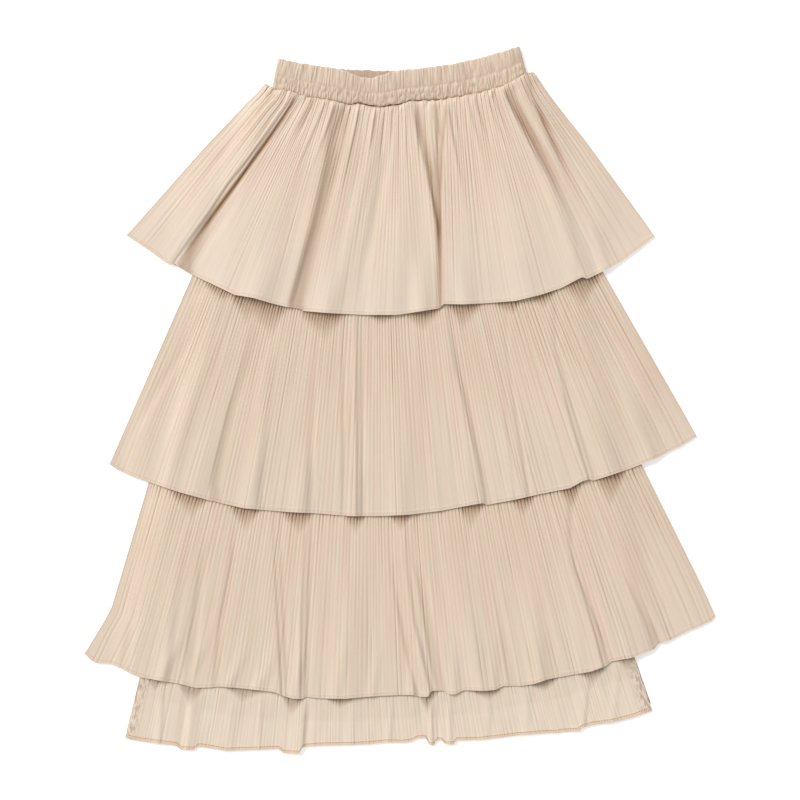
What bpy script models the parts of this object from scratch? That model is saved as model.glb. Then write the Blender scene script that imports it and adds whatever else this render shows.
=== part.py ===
"""A pleated midi skirt with three flounces, laid flat on its back with the front up.

The waist points to +Y, the hem to -Y, and +Z is up. The origin is at the middle of the
skirt's outline, on the surface that it lies on. Every cloth panel is a thin wall: a grid
whose rows run across the skirt and whose columns are its pleats, folded and thickened.
"""
from collections import namedtuple

import bpy
import numpy as np

# Sizes below are in millimetres.
MM = 0.001

CLOTH = 1.2          # wall of a cloth panel
BAND = 3.4           # wall of the waistband: gathered casing with its elastic
SEAM_GAP = 0.3       # clearance between pieces that are sewn to or lie on each other
LAYER = CLOTH + SEAM_GAP

# A panel steps down to the surface past the hem of the panel that it lies on.
STEP_CLEAR = 3.0     # level run past that hem
TIER_STEP = 12.0     # length of the slope that follows, one layer down
UNDERSKIRT_STEP = 24.0

BACK_HEM_SHY = 1.5   # a back hem is this much shorter than the front one, out of sight
EDGE_TILT = 0.3      # room for the tilted edge of a wall that rises from the waist seam
SHOULDER_DROP = 0.2  # slope of the first flounce's top edge where it sticks out of the band

# A row of a table is one section across a panel: its share of the way from the top to the
# hem, its two ends, how far its middle hangs below them, and how square that curve is.
Section = namedtuple("Section", "share left_x left_y right_x right_y sag squareness")

BAND_SECTIONS = (
    Section(0.00, -151.0, 423.0, 148.0, 438.0, 22.0, 2.0),
    Section(1.00, -159.0, 389.0, 157.5, 404.0, 33.0, 1.9),
)
UNDERSKIRT_SECTIONS = (
    Section(0.00, -153.0, 388.0, 151.5, 403.0, 33.0, 1.9),
    Section(0.90, -322.0, -340.0, 286.0, -306.0, 40.0, 3.0),
    Section(1.00, -341.5, -420.5, 313.0, -385.0, 24.0, 5.5),
)
TIER_1_SECTIONS = (
    Section(0.00, -168.5, 390.0, 167.5, 399.5, 33.0, 1.9),
    Section(0.40, -236.0, 316.5, 239.0, 320.0, 58.0, 2.2),
    Section(1.00, -337.0, 203.0, 315.0, 202.5, 100.0, 2.4),
)
TIER_2_SECTIONS = (
    Section(0.00, -244.0, 185.0, 229.5, 197.0, 43.5, 2.2),
    Section(1.00, -361.0, -81.0, 368.5, -45.5, 80.5, 2.2),
)
TIER_3_SECTIONS = (
    Section(0.00, -300.0, -63.0, 280.0, -41.0, 48.0, 2.3),
    Section(0.79, -359.5, -263.0, 369.0, -220.5, 71.0, 2.4),
    Section(1.00, -392.0, -316.0, 392.0, -268.5, 77.0, 2.5),
)

# The front of the waistband dips below the back one, left of the middle.
DIP_X = -42.0
DIP_REACH = 37.0
DIP_DEPTH = 6.0

# A row is one large fold: its place across the panel at the top and at the hem, as a share
# of the width, how far it reaches to each side, its height at the top and at the hem, how
# far it leans to the right for each millimetre that it rises, and how far it pulls the hem
# down.
Fold = namedtuple("Fold", "name top hem left_reach right_reach rise_top rise_hem lean dip")

TIER_1_FOLDS = (
    Fold("left flap", 0.112, 0.083, 42.0, 7.0, 2.0, 8.0, 0.3, 2.0),
    Fold("valley beside the flap", 0.140, 0.105, 7.0, 24.0, -3.0, -6.0, 0.0, 0.0),
    Fold("left lobe", 0.268, 0.292, 60.0, 8.0, 2.0, 5.0, 0.2, 0.0),
    Fold("trough", 0.300, 0.316, 9.0, 12.0, -3.0, -5.0, 0.0, -2.0),
    Fold("middle lobe", 0.400, 0.372, 28.0, 34.0, 2.0, 4.0, 0.0, 0.0),
    Fold("middle crease", 0.458, 0.440, 13.0, 13.0, -1.5, -2.0, 0.0, 0.0),
    Fold("middle lobe, right", 0.520, 0.520, 24.0, 26.0, 1.5, 2.5, 0.0, 0.0),
    Fold("wedge", 0.615, 0.585, 26.0, 8.0, -3.0, -3.5, 0.0, 0.0),
    Fold("right lobe", 0.662, 0.602, 8.0, 85.0, 3.0, 6.5, -0.3, -4.0),
    Fold("right trough", 0.850, 0.905, 9.0, 11.0, -4.0, -1.5, 0.0, 0.0),
    Fold("right ridge", 0.885, 0.940, 9.0, 11.0, 2.0, 1.5, 0.0, 0.0),
)
TIER_2_FOLDS = (
    Fold("left valley", 0.172, 0.172, 20.0, 14.0, -1.0, -2.5, 0.0, 0.0),
    Fold("left ridge", 0.225, 0.240, 18.0, 18.0, 1.0, 3.0, 0.0, 0.0),
    Fold("second valley", 0.320, 0.340, 12.0, 14.0, -1.0, -2.5, 0.0, 0.0),
    Fold("narrow ridge", 0.402, 0.418, 10.0, 10.0, 1.5, 3.5, 0.0, 0.0),
    Fold("broad ridge", 0.520, 0.520, 50.0, 45.0, 0.5, 2.0, 0.0, 0.0),
    Fold("right ridge", 0.612, 0.622, 26.0, 9.0, 1.0, 4.0, 0.2, 0.0),
    Fold("right valley", 0.636, 0.650, 8.0, 16.0, -1.0, -3.0, 0.0, 0.0),
    Fold("crease ridge", 0.800, 0.802, 34.0, 10.0, 0.5, 4.5, 0.2, 3.0),
    Fold("crease valley", 0.834, 0.828, 9.0, 20.0, -1.0, -3.0, 0.0, -3.0),
)
TIER_3_FOLDS = (
    Fold("left valley", 0.137, 0.162, 16.0, 16.0, -1.0, -3.0, 0.0, 0.0),
    Fold("left ridge", 0.200, 0.225, 22.0, 22.0, 1.0, 3.0, 0.0, -3.0),
    Fold("left fold", 0.262, 0.320, 26.0, 9.0, 0.5, 4.5, 0.2, 7.0),
    Fold("narrow valley", 0.330, 0.352, 9.0, 10.0, -1.0, -3.0, 0.0, -1.0),
    Fold("broad ridge", 0.420, 0.430, 42.0, 42.0, 1.0, 3.0, 0.0, 0.0),
    Fold("middle valley", 0.520, 0.558, 18.0, 16.0, -1.0, -3.5, 0.0, -4.0),
    Fold("right ridge", 0.600, 0.625, 28.0, 30.0, 1.0, 3.0, 0.0, 0.0),
    Fold("crease ridge", 0.790, 0.805, 34.0, 10.0, 0.5, 4.5, 0.2, 3.0),
    Fold("crease valley", 0.822, 0.840, 9.0, 18.0, -1.0, -3.0, 0.0, -3.0),
    Fold("short crease", 0.900, 0.912, 12.0, 12.0, 0.0, -3.0, 0.0, 3.0),
)
UNDERSKIRT_FOLDS = (
    Fold("left tab", 0.110, 0.119, 14.0, 9.0, 0.0, 1.8, 0.0, 5.0),
    Fold("second tab", 0.300, 0.314, 16.0, 9.0, 0.0, 2.0, 0.0, 6.0),
    Fold("middle tab", 0.585, 0.600, 14.0, 14.0, 0.0, 1.6, 0.0, 4.0),
    Fold("middle notch", 0.545, 0.560, 9.0, 9.0, 0.0, 0.8, 0.0, -6.0),
    Fold("right tab", 0.835, 0.840, 16.0, 9.0, 0.0, 2.0, 0.0, 4.0),
)

# A row is one pleated front: how many pleats it has, and their half height and the height
# of the panel above what it lies on, at the top, a little below it, halfway and at the hem.
Pleats = namedtuple("Pleats", "count half_height lift")
HEIGHT_SHARES = (0.00, 0.06, 0.50, 1.00)
TIER_1_PLEATS = Pleats(46, (0.0, 0.8, 1.3, 1.0), (0.0, 2.2, 2.6, 3.0))
TIER_2_PLEATS = Pleats(50, (0.0, 0.6, 1.3, 1.2), (0.0, 0.3, 1.2, 2.4))
TIER_3_PLEATS = Pleats(52, (0.0, 0.6, 1.3, 1.3), (0.0, 0.3, 1.4, 2.6))
UNDERSKIRT_PLEATS = 16
UNDERSKIRT_PLEAT_HALF = 0.8
STRIP = 30.0         # the underskirt's pleats grow over this distance below the last tier
BAND_GATHERS = 36
BAND_GATHER_HALF = 0.45

FOLDS_BEGIN = 0.16   # large folds grow from the top of a panel over this share
DIPS_BEGIN = 0.80    # and pull the hem down from this share on
SIDE_REACH = 26.0    # a front rises from its side edges over this distance
PLEAT_SIDE_REACH = 12.0
SOFT_FLOOR = 1.0     # how softly a fold settles on what lies under it

# A front climbs onto a narrower layer between these two distances outside its side edges,
# and onto the hidden top of the next flounce between these distances above its top edge.
CLIMB_AT_SIDE = (-17.0, -9.0)
CLIMB_AT_TOP = (-22.0, -4.0)
HIDDEN_PLEATS = 2.4  # room over the low pleats of that hidden top

# Across the waistband: a wide channel, a line of stitches and a narrow channel.
BAND_ROW_SHARES = (0.00, 0.14, 0.36, 0.56, 0.62, 0.70, 0.88, 1.00)
BAND_SWELL = (-0.5, 0.2, 0.6, 0.2, -0.5, 0.1, 0.3, -0.4)
BAND_GATHERING = (0.5, 1.0, 1.0, 0.8, 0.5, 0.9, 1.0, 0.6)
BAND_END_REACH = 6.0

FINE_SAMPLES = 1201  # points along a row before its columns are spaced out
BACK_COLUMNS = 22

CREAM = (0.74, 0.60, 0.46, 1.0)
CREAM_BAND = (0.68, 0.53, 0.40, 1.0)
CREAM_UNDERSKIRT = (0.78, 0.65, 0.52, 1.0)
CLOTH_ROUGHNESS = 0.72


def smooth(start, end, value):
    """Rise from 0 at start to 1 at end, with level ends."""
    t = np.clip((np.asarray(value, dtype=float) - start) / (end - start), 0.0, 1.0)
    return t * t * (3.0 - 2.0 * t)


def section_at(sections, share):
    """The section at one share, or at an array of shares, from the top to the hem."""
    shares = [section.share for section in sections]
    columns = zip(*sections)
    return Section(*(np.interp(share, shares, column) for column in columns))


def plan(sections, share, place):
    """Where a share down and a place across the panel lie, seen from above."""
    row = section_at(sections, share)
    hang = 1.0 - np.abs(2.0 * place - 1.0) ** row.squareness
    x = row.left_x + (row.right_x - row.left_x) * place
    y = row.left_y + (row.right_y - row.left_y) * place - row.sag * hang
    return x, y


def line_y(section, x):
    """Height in Y of one section's curve at x."""
    place = np.clip((x - section.left_x) / (section.right_x - section.left_x), 0.0, 1.0)
    hang = 1.0 - np.abs(2.0 * place - 1.0) ** section.squareness
    return section.left_y + (section.right_y - section.left_y) * place - section.sag * hang


def inside_sides(sections, x, y):
    """How far a point lies inside a panel's two side edges."""
    rows = sorted(sections, key=lambda row: row.left_y)
    left = np.interp(y, [row.left_y for row in rows], [row.left_x for row in rows])
    rows = sorted(sections, key=lambda row: row.right_y)
    right = np.interp(y, [row.right_y for row in rows], [row.right_x for row in rows])
    return np.minimum(x - left, right - x)


def meet_waist(share, x, y):
    """Bring the top row of a panel that is sewn into the waist to the waistband's edge."""
    seam = BAND_SECTIONS[-1]
    shoulder = np.maximum(np.maximum(seam.left_x - x, x - seam.right_x), 0.0)
    at_seam = line_y(seam, x) - SEAM_GAP - EDGE_TILT - SHOULDER_DROP * shoulder
    return np.where(share <= 0.0, at_seam, y)


def share_past(sections, above, distance, place):
    """The shares at which the columns are a distance past the hem of the panel above."""
    hem = above[-1]
    low = np.zeros_like(place)
    high = np.ones_like(place)
    for _ in range(40):
        middle = (low + high) / 2.0
        x, y = plan(sections, middle, place)
        before = y > line_y(hem, x) - distance
        low = np.where(before, middle, low)
        high = np.where(before, high, middle)
    return (low + high) / 2.0


# A tier lies on the one above it as the skirt rests on its back, and the underskirt on all.
SECTIONS = {
    "tier_1": TIER_1_SECTIONS,
    "tier_2": TIER_2_SECTIONS,
    "tier_3": TIER_3_SECTIONS,
    "underskirt": UNDERSKIRT_SECTIONS,
}
ABOVE = {"tier_2": "tier_1", "tier_3": "tier_2", "underskirt": "tier_3"}
NEXT_DOWN = {"tier_1": "tier_2", "tier_2": "tier_3"}
LAYERS_UNDER = {"tier_1": 0, "tier_2": 1, "tier_3": 1, "underskirt": 2}
STEP_LENGTH = {"tier_2": TIER_STEP, "tier_3": TIER_STEP, "underskirt": UNDERSKIRT_STEP}


def back_underside(name, x, y):
    """Height of the underside of a back panel, which steps down past the hem it lies on."""
    if name not in ABOVE:
        return np.zeros_like(x)
    past = line_y(SECTIONS[ABOVE[name]][-1], x) - y
    step = (past - STEP_CLEAR) / STEP_LENGTH[name]
    return LAYERS_UNDER[name] * LAYER * (1.0 - np.clip(step, 0.0, 1.0))


def front_floor(name, x, y):
    """Lowest middle height of a front wall that clears everything under it."""
    middle = SEAM_GAP + CLOTH / 2.0
    floor = back_underside(name, x, y) + CLOTH + middle
    if name == "underskirt":
        return floor
    on_underskirt = smooth(*CLIMB_AT_SIDE, inside_sides(UNDERSKIRT_SECTIONS, x, y))
    underskirt_top = back_underside("underskirt", x, y) + LAYER + CLOTH
    floor = floor + np.maximum(underskirt_top + middle - floor, 0.0) * on_underskirt
    if name in NEXT_DOWN:
        sections = SECTIONS[NEXT_DOWN[name]]
        on_next = smooth(*CLIMB_AT_SIDE, inside_sides(sections, x, y))
        on_next = on_next * smooth(*CLIMB_AT_TOP, line_y(sections[0], x) - y)
        floor = floor + (LAYER + HIDDEN_PLEATS) * on_next
    return floor


def fold_heights(folds, share, place, width):
    """Rise, sideways lean and hem dip of all the large folds of a row."""
    rise = np.zeros_like(place)
    lean = np.zeros_like(place)
    dip = np.zeros_like(place)
    for fold in folds:
        centre = fold.top + (fold.hem - fold.top) * share
        across = (place - centre) * width
        reach = np.where(across < 0.0, fold.left_reach, fold.right_reach)
        crest = 1.0 - smooth(0.0, 1.0, np.abs(across) / reach)
        height = (fold.rise_top + (fold.rise_hem - fold.rise_top) * share) * crest
        rise += height
        lean += fold.lean * height
        dip += fold.dip * crest
    grown = smooth(0.0, FOLDS_BEGIN, share)
    return rise * grown, lean * grown, dip * smooth(DIPS_BEGIN, 1.0, share)


def front_row(name, folds, pleats, share, place):
    """Points of one row of a pleated front, before its pleats, and the pleats' half height."""
    sections = SECTIONS[name]
    x, y = plan(sections, share, place)
    if name == "tier_1":
        y = meet_waist(share, x, y)
    row = section_at(sections, share)
    width = row.right_x - row.left_x
    from_side = np.minimum(place, 1.0 - place) * width
    at_side = smooth(0.0, SIDE_REACH, from_side)
    half = np.interp(share, HEIGHT_SHARES, pleats.half_height)
    half = half * smooth(0.0, PLEAT_SIDE_REACH, from_side)
    lift = np.interp(share, HEIGHT_SHARES, pleats.lift)
    rise, lean, dip = fold_heights(folds, share, place, width)
    floor = front_floor(name, x, y) + half
    above_floor = (lift + rise) * at_side
    softness = SOFT_FLOOR * at_side * smooth(0.0, FOLDS_BEGIN, share)
    z = floor + (above_floor + np.sqrt(above_floor ** 2 + softness ** 2)) / 2.0
    return np.stack([x + lean * at_side, y - dip, z], axis=1), half


def spaced_columns(points, values, count):
    """Points along a row, spaced evenly along the cloth, with the value at each."""
    steps = np.linalg.norm(np.diff(points, axis=0), axis=1)
    length = np.concatenate([[0.0], np.cumsum(steps)])
    at = np.linspace(0.0, length[-1], count)
    spaced = np.stack([np.interp(at, length, points[:, k]) for k in range(3)], axis=1)
    return spaced, np.interp(at, length, values)


def pleated(points, half):
    """Move every other column up and the rest down, square to the cloth."""
    along = np.gradient(points, axis=0)
    along /= np.linalg.norm(along, axis=1)[:, None]
    up = np.array([0.0, 0.0, 1.0]) - along * along[:, 2:3]
    up /= np.linalg.norm(up, axis=1)[:, None]
    side = np.where(np.arange(len(points)) % 2 == 1, 1.0, -1.0)
    return points + up * (half * side)[:, None]


def grid_object(name, rows, wall, colour):
    """A grid with one row of points for each row given, thickened to a wall about it."""
    rows = np.asarray(rows)
    row_count, column_count = rows.shape[:2]
    bpy.ops.mesh.primitive_grid_add(
        x_subdivisions=column_count - 1, y_subdivisions=row_count - 1, size=2.0)
    panel = bpy.context.object
    panel.name = name
    panel.data.name = name
    flat = np.empty(len(panel.data.vertices) * 3)
    panel.data.vertices.foreach_get("co", flat)
    flat = flat.reshape(-1, 3)
    column = np.rint((flat[:, 0] + 1.0) / 2.0 * (column_count - 1)).astype(int)
    row = np.rint((1.0 - flat[:, 1]) / 2.0 * (row_count - 1)).astype(int)
    placed = rows[row, column] * MM
    panel.data.vertices.foreach_set("co", placed.ravel())
    panel.data.update()
    thicken = panel.modifiers.new("wall", "SOLIDIFY")
    thicken.thickness = wall * MM
    thicken.offset = 0.0
    thicken.use_even_offset = True
    material = bpy.data.materials.new(name + "_cloth")
    material.use_nodes = True
    shader = material.node_tree.nodes["Principled BSDF"]
    shader.inputs["Base Color"].default_value = colour
    shader.inputs["Roughness"].default_value = CLOTH_ROUGHNESS
    shader.inputs["Metallic"].default_value = 0.0
    panel.data.materials.append(material)
    for collection in list(panel.users_collection):
        collection.objects.unlink(panel)
    bpy.data.collections["ruffled_skirt"].objects.link(panel)
    return panel


def row_shares(name, shares, past, place):
    """Shares of all the rows of a panel: even ones, and those past the hem it lies on."""
    rows = [np.full_like(place, share) for share in shares]
    for distance in past:
        rows.append(share_past(SECTIONS[name], SECTIONS[ABOVE[name]], distance, place))
    return sorted(rows, key=lambda share: share[len(share) // 2])


def tier_front(number, folds, pleats, shares, past=()):
    """The front of a flounce, with its pleats and large folds."""
    name = f"tier_{number}"
    place = np.linspace(0.0, 1.0, FINE_SAMPLES)
    rows = []
    for share in row_shares(name, shares, past, place):
        points, half = front_row(name, folds, pleats, share, place)
        points, half = spaced_columns(points, half, 2 * pleats.count + 1)
        rows.append(pleated(points, half))
    return grid_object(name + "_front", rows, CLOTH, CREAM)


def flat_back(name, shares, past, colour):
    """The back of a flounce or of the underskirt, flat where it rests."""
    sections = SECTIONS[name]
    hem = sections[-1]
    shy = hem._replace(left_x=hem.left_x + BACK_HEM_SHY, left_y=hem.left_y + BACK_HEM_SHY,
                       right_x=hem.right_x - BACK_HEM_SHY, right_y=hem.right_y + BACK_HEM_SHY)
    place = np.linspace(0.0, 1.0, BACK_COLUMNS + 1)
    rows = []
    for share in row_shares(name, shares, past, place):
        x, y = plan(sections[:-1] + (shy,), share, place)
        if name in ("tier_1", "underskirt"):
            y = meet_waist(share, x, y)
        z = back_underside(name, *plan(sections, share, place)) + CLOTH / 2.0
        rows.append(np.stack([x, y, z], axis=1))
    return grid_object(name + "_back", rows, CLOTH, colour)


def underskirt_front(shares, past):
    """The front of the underskirt: level under the tiers, and pleated where it shows."""
    place = np.linspace(0.0, 1.0, 2 * UNDERSKIRT_PLEATS + 1)
    rows = []
    for share in row_shares("underskirt", shares, past, place):
        x, y = plan(UNDERSKIRT_SECTIONS, share, place)
        y = meet_waist(share, x, y)
        row = section_at(UNDERSKIRT_SECTIONS, share)
        width = row.right_x - row.left_x
        in_sight = smooth(0.0, STRIP, line_y(TIER_3_SECTIONS[-1], x) - y)
        at_side = smooth(0.0, PLEAT_SIDE_REACH, np.minimum(place, 1.0 - place) * width)
        half = UNDERSKIRT_PLEAT_HALF * in_sight * at_side
        rise, _, dip = fold_heights(UNDERSKIRT_FOLDS, share, place, width)
        z = front_floor("underskirt", x, y) + half + np.maximum(rise, 0.0) * in_sight
        rows.append(pleated(np.stack([x, y - dip * in_sight, z], axis=1), half))
    return grid_object("underskirt_front", rows, CLOTH, CREAM_UNDERSKIRT)


def band_rows(count, base, gathers, dip):
    """Rows of a waistband half, from its top edge to the waist seam."""
    place = np.linspace(0.0, 1.0, count)
    rows = []
    for share, swell, gathering in zip(BAND_ROW_SHARES, BAND_SWELL, BAND_GATHERING):
        x, y = plan(BAND_SECTIONS, share, place)
        y = y - dip * (1.0 - share) * np.exp(-((x - DIP_X) / DIP_REACH) ** 2)
        end = smooth(0.0, BAND_END_REACH, np.minimum(x - x[0], x[-1] - x))
        half = gathers * gathering * end
        z = base + half + (swell - min(BAND_SWELL)) * (gathers > 0.0) * end
        points = np.stack([x, y, z], axis=1)
        rows.append(pleated(points, half) if gathers else points)
    return rows


def waistband():
    """The elastic casing: a flat back half, and a gathered front half that lies on it."""
    back = band_rows(BACK_COLUMNS + 1, BAND / 2.0, 0.0, 0.0)
    grid_object("waistband_back", back, BAND, CREAM_BAND)
    front = band_rows(2 * BAND_GATHERS + 1, 1.5 * BAND + SEAM_GAP, BAND_GATHER_HALF, DIP_DEPTH)
    grid_object("waistband_front", front, BAND, CREAM_BAND)


def main():
    for old in list(bpy.data.objects):
        bpy.data.objects.remove(old, do_unlink=True)
    skirt = bpy.data.collections.new("ruffled_skirt")
    bpy.context.scene.collection.children.link(skirt)

    waistband()
    step = (STEP_CLEAR, STEP_CLEAR + TIER_STEP)
    tier_front(1, TIER_1_FOLDS, TIER_1_PLEATS, (0.0, 0.06, 0.22, 0.42, 0.60, 0.78, 0.90, 1.0))
    tier_front(2, TIER_2_FOLDS, TIER_2_PLEATS, (0.0, 0.32, 0.46, 0.60, 0.74, 0.88, 1.0), step)
    tier_front(3, TIER_3_FOLDS, TIER_3_PLEATS, (0.0, 0.34, 0.48, 0.63, 0.79, 0.90, 1.0), step)
    flat_back("tier_1", (0.0, 0.4, 1.0), (), CREAM)
    flat_back("tier_2", (0.0, 0.6, 1.0), step, CREAM)
    flat_back("tier_3", (0.0, 0.79, 1.0), step, CREAM)
    down = (STEP_CLEAR, STEP_CLEAR + UNDERSKIRT_STEP)
    flat_back("underskirt", (0.0, 0.3, 0.6, 1.0), down, CREAM_UNDERSKIRT)
    underskirt_front((0.0, 0.3, 0.6, 1.0), down)


main()
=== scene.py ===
"""The looks of a pleated midi skirt with three flounces, laid flat with its front up.

The waist points to +Y, the hem to -Y, and +Z is up. Every panel is one sheet of cloth: its
rows run across the skirt, and its columns follow the pleats from the seam to the hem.
Lengths are in millimetres up to the point where a mesh or a light is made.
"""
import math
from collections import namedtuple

import bpy
import numpy as np
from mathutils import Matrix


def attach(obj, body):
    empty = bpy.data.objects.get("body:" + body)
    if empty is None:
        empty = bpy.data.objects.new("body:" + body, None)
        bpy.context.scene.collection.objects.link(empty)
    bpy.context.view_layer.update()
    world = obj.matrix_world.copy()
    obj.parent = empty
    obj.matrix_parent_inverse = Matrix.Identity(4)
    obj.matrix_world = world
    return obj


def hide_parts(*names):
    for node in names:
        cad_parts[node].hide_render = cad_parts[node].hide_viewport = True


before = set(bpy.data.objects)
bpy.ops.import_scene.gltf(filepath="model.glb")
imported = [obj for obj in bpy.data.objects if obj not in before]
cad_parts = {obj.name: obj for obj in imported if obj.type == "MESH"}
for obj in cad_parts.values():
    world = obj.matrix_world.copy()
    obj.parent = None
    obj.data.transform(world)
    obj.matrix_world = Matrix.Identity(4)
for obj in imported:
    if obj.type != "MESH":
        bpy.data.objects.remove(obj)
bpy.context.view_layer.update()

MM = 0.001

# The photograph's frame, and the width of floor that it shows.
FRAME_PIXELS = 800
FRAME_WIDTH = 992.0
FRAME_CENTRE = (0.0, -1.2)
CAMERA_HEIGHT = 4000.0
SENSOR = 36.0

# The key light stands to the upper left: its azimuth from +X towards +Y, its elevation, the
# angle that it fills and its strength, and the brightness of the white room around it.
KEY_AZIMUTH = 140.0
KEY_ELEVATION = 41.0
KEY_SOFTNESS = 32.0
KEY = 2.30
SKY = 0.54
BOARD_GLOW = 0.34
MEAN_HEIGHT = 9.0         # of the cloth above the board, where a pixel has its true size

CLOTH = 0.45              # wall of the pleated cloth
CAD_CLOTH = 1.2           # wall of a solid panel
SEAM_GAP = 0.3            # between panels that are sewn together or lie on each other
LAYER = CAD_CLOTH + SEAM_GAP
BAND = 3.4                # wall of one half of the waistband
STEP_CLEAR = 3.0          # how far past a hem the layer on it starts to step down
TIER_STEP = 12.0          # how long that step is under a flounce
UNDERSKIRT_STEP = 24.0    # and under the underskirt
BACK_HEM_SHY = 1.5        # how much shorter than its front a flounce's back is
UNDERSKIRT_BACK_SHY = 7.5
EDGE_TILT = 0.3           # how much further below the waistband a panel's top edge lies
SHOULDER_DROP = 0.2       # and for each millimetre that it stands out beside the waistband

# A row of a table is one section across a panel: its share of the way from the top to the
# hem, its two ends, how far its middle hangs below them, and how square that curve is.
Section = namedtuple("Section", "share left_x left_y right_x right_y sag squareness")

BAND_SECTIONS = (
    Section(0.00, -151.0, 423.0, 148.0, 438.0, 22.0, 2.0),
    Section(1.00, -159.0, 389.0, 157.5, 404.0, 33.0, 1.9),
)
UNDERSKIRT_SECTIONS = (
    Section(0.00, -153.0, 388.0, 151.5, 403.0, 33.0, 1.9),
    Section(0.90, -322.0, -340.0, 286.0, -306.0, 40.0, 3.0),
    Section(1.00, -341.5, -420.5, 313.0, -385.0, 24.0, 5.5),
)
TIER_1_SECTIONS = (
    Section(0.00, -168.5, 390.0, 167.5, 399.5, 33.0, 1.9),
    Section(0.40, -239.0, 316.5, 231.0, 320.0, 58.0, 2.2),
    Section(1.00, -340.0, 203.0, 316.5, 202.5, 100.0, 2.4),
)
TIER_2_SECTIONS = (
    Section(0.00, -244.0, 185.0, 229.5, 197.0, 43.5, 2.2),
    Section(1.00, -361.0, -81.0, 368.5, -45.5, 80.5, 2.2),
)
TIER_3_SECTIONS = (
    Section(0.00, -300.0, -63.0, 280.0, -41.0, 48.0, 2.3),
    Section(0.79, -359.5, -263.0, 369.0, -220.5, 71.0, 2.4),
    Section(1.00, -392.0, -316.0, 392.0, -268.5, 77.0, 2.5),
)
SECTIONS = {
    "tier_1": TIER_1_SECTIONS,
    "tier_2": TIER_2_SECTIONS,
    "tier_3": TIER_3_SECTIONS,
    "underskirt": UNDERSKIRT_SECTIONS,
}
ABOVE = {"tier_2": "tier_1", "tier_3": "tier_2", "underskirt": "tier_3"}
NEXT_DOWN = {"tier_1": "tier_2", "tier_2": "tier_3"}
LAYERS_UNDER = {"tier_1": 0, "tier_2": 1, "tier_3": 1, "underskirt": 2}
STEP_LENGTH = {"tier_2": TIER_STEP, "tier_3": TIER_STEP, "underskirt": UNDERSKIRT_STEP}

# The front of the waistband dips below the back one, left of the middle.
DIP_X = -40.0
DIP_REACH = 25.0
DIP_DEPTH = 9.5

# The waist seam strays from its even curve: along it in X, and how far it strays in Y.
SEAM_STRAYS = (
    (-170, -1.5), (-159, -5.0), (-149, -3.7), (-136, -1.2), (-124, -1.9), (-99, 0.0), (-74, 0.0),
    (-62, -0.8), (-52, 3.3), (-37, 0.8), (-25, -0.6), (-12, 1.5), (0, 2.9), (12, 5.7), (25, 5.1),
    (50, 1.7), (62, 1.9), (74, 0.0), (87, 0.0), (99, -1.9), (112, -2.6), (124, -3.5), (136, -4.6),
    (142, -2.8), (150, -1.0), (159, -2.0), (170, -1.0),
)

# The corners of the highest flounce stand up beside the waistband: along it, and by how much.
SHOULDERS = (
    (-168.5, 4.5), (-165.5, 5.0), (-160.5, 2.0), (-154.0, 0.0),
    (152.0, 0.0), (158.5, 1.6), (164.5, 3.6), (167.5, 3.2),
)

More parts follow.
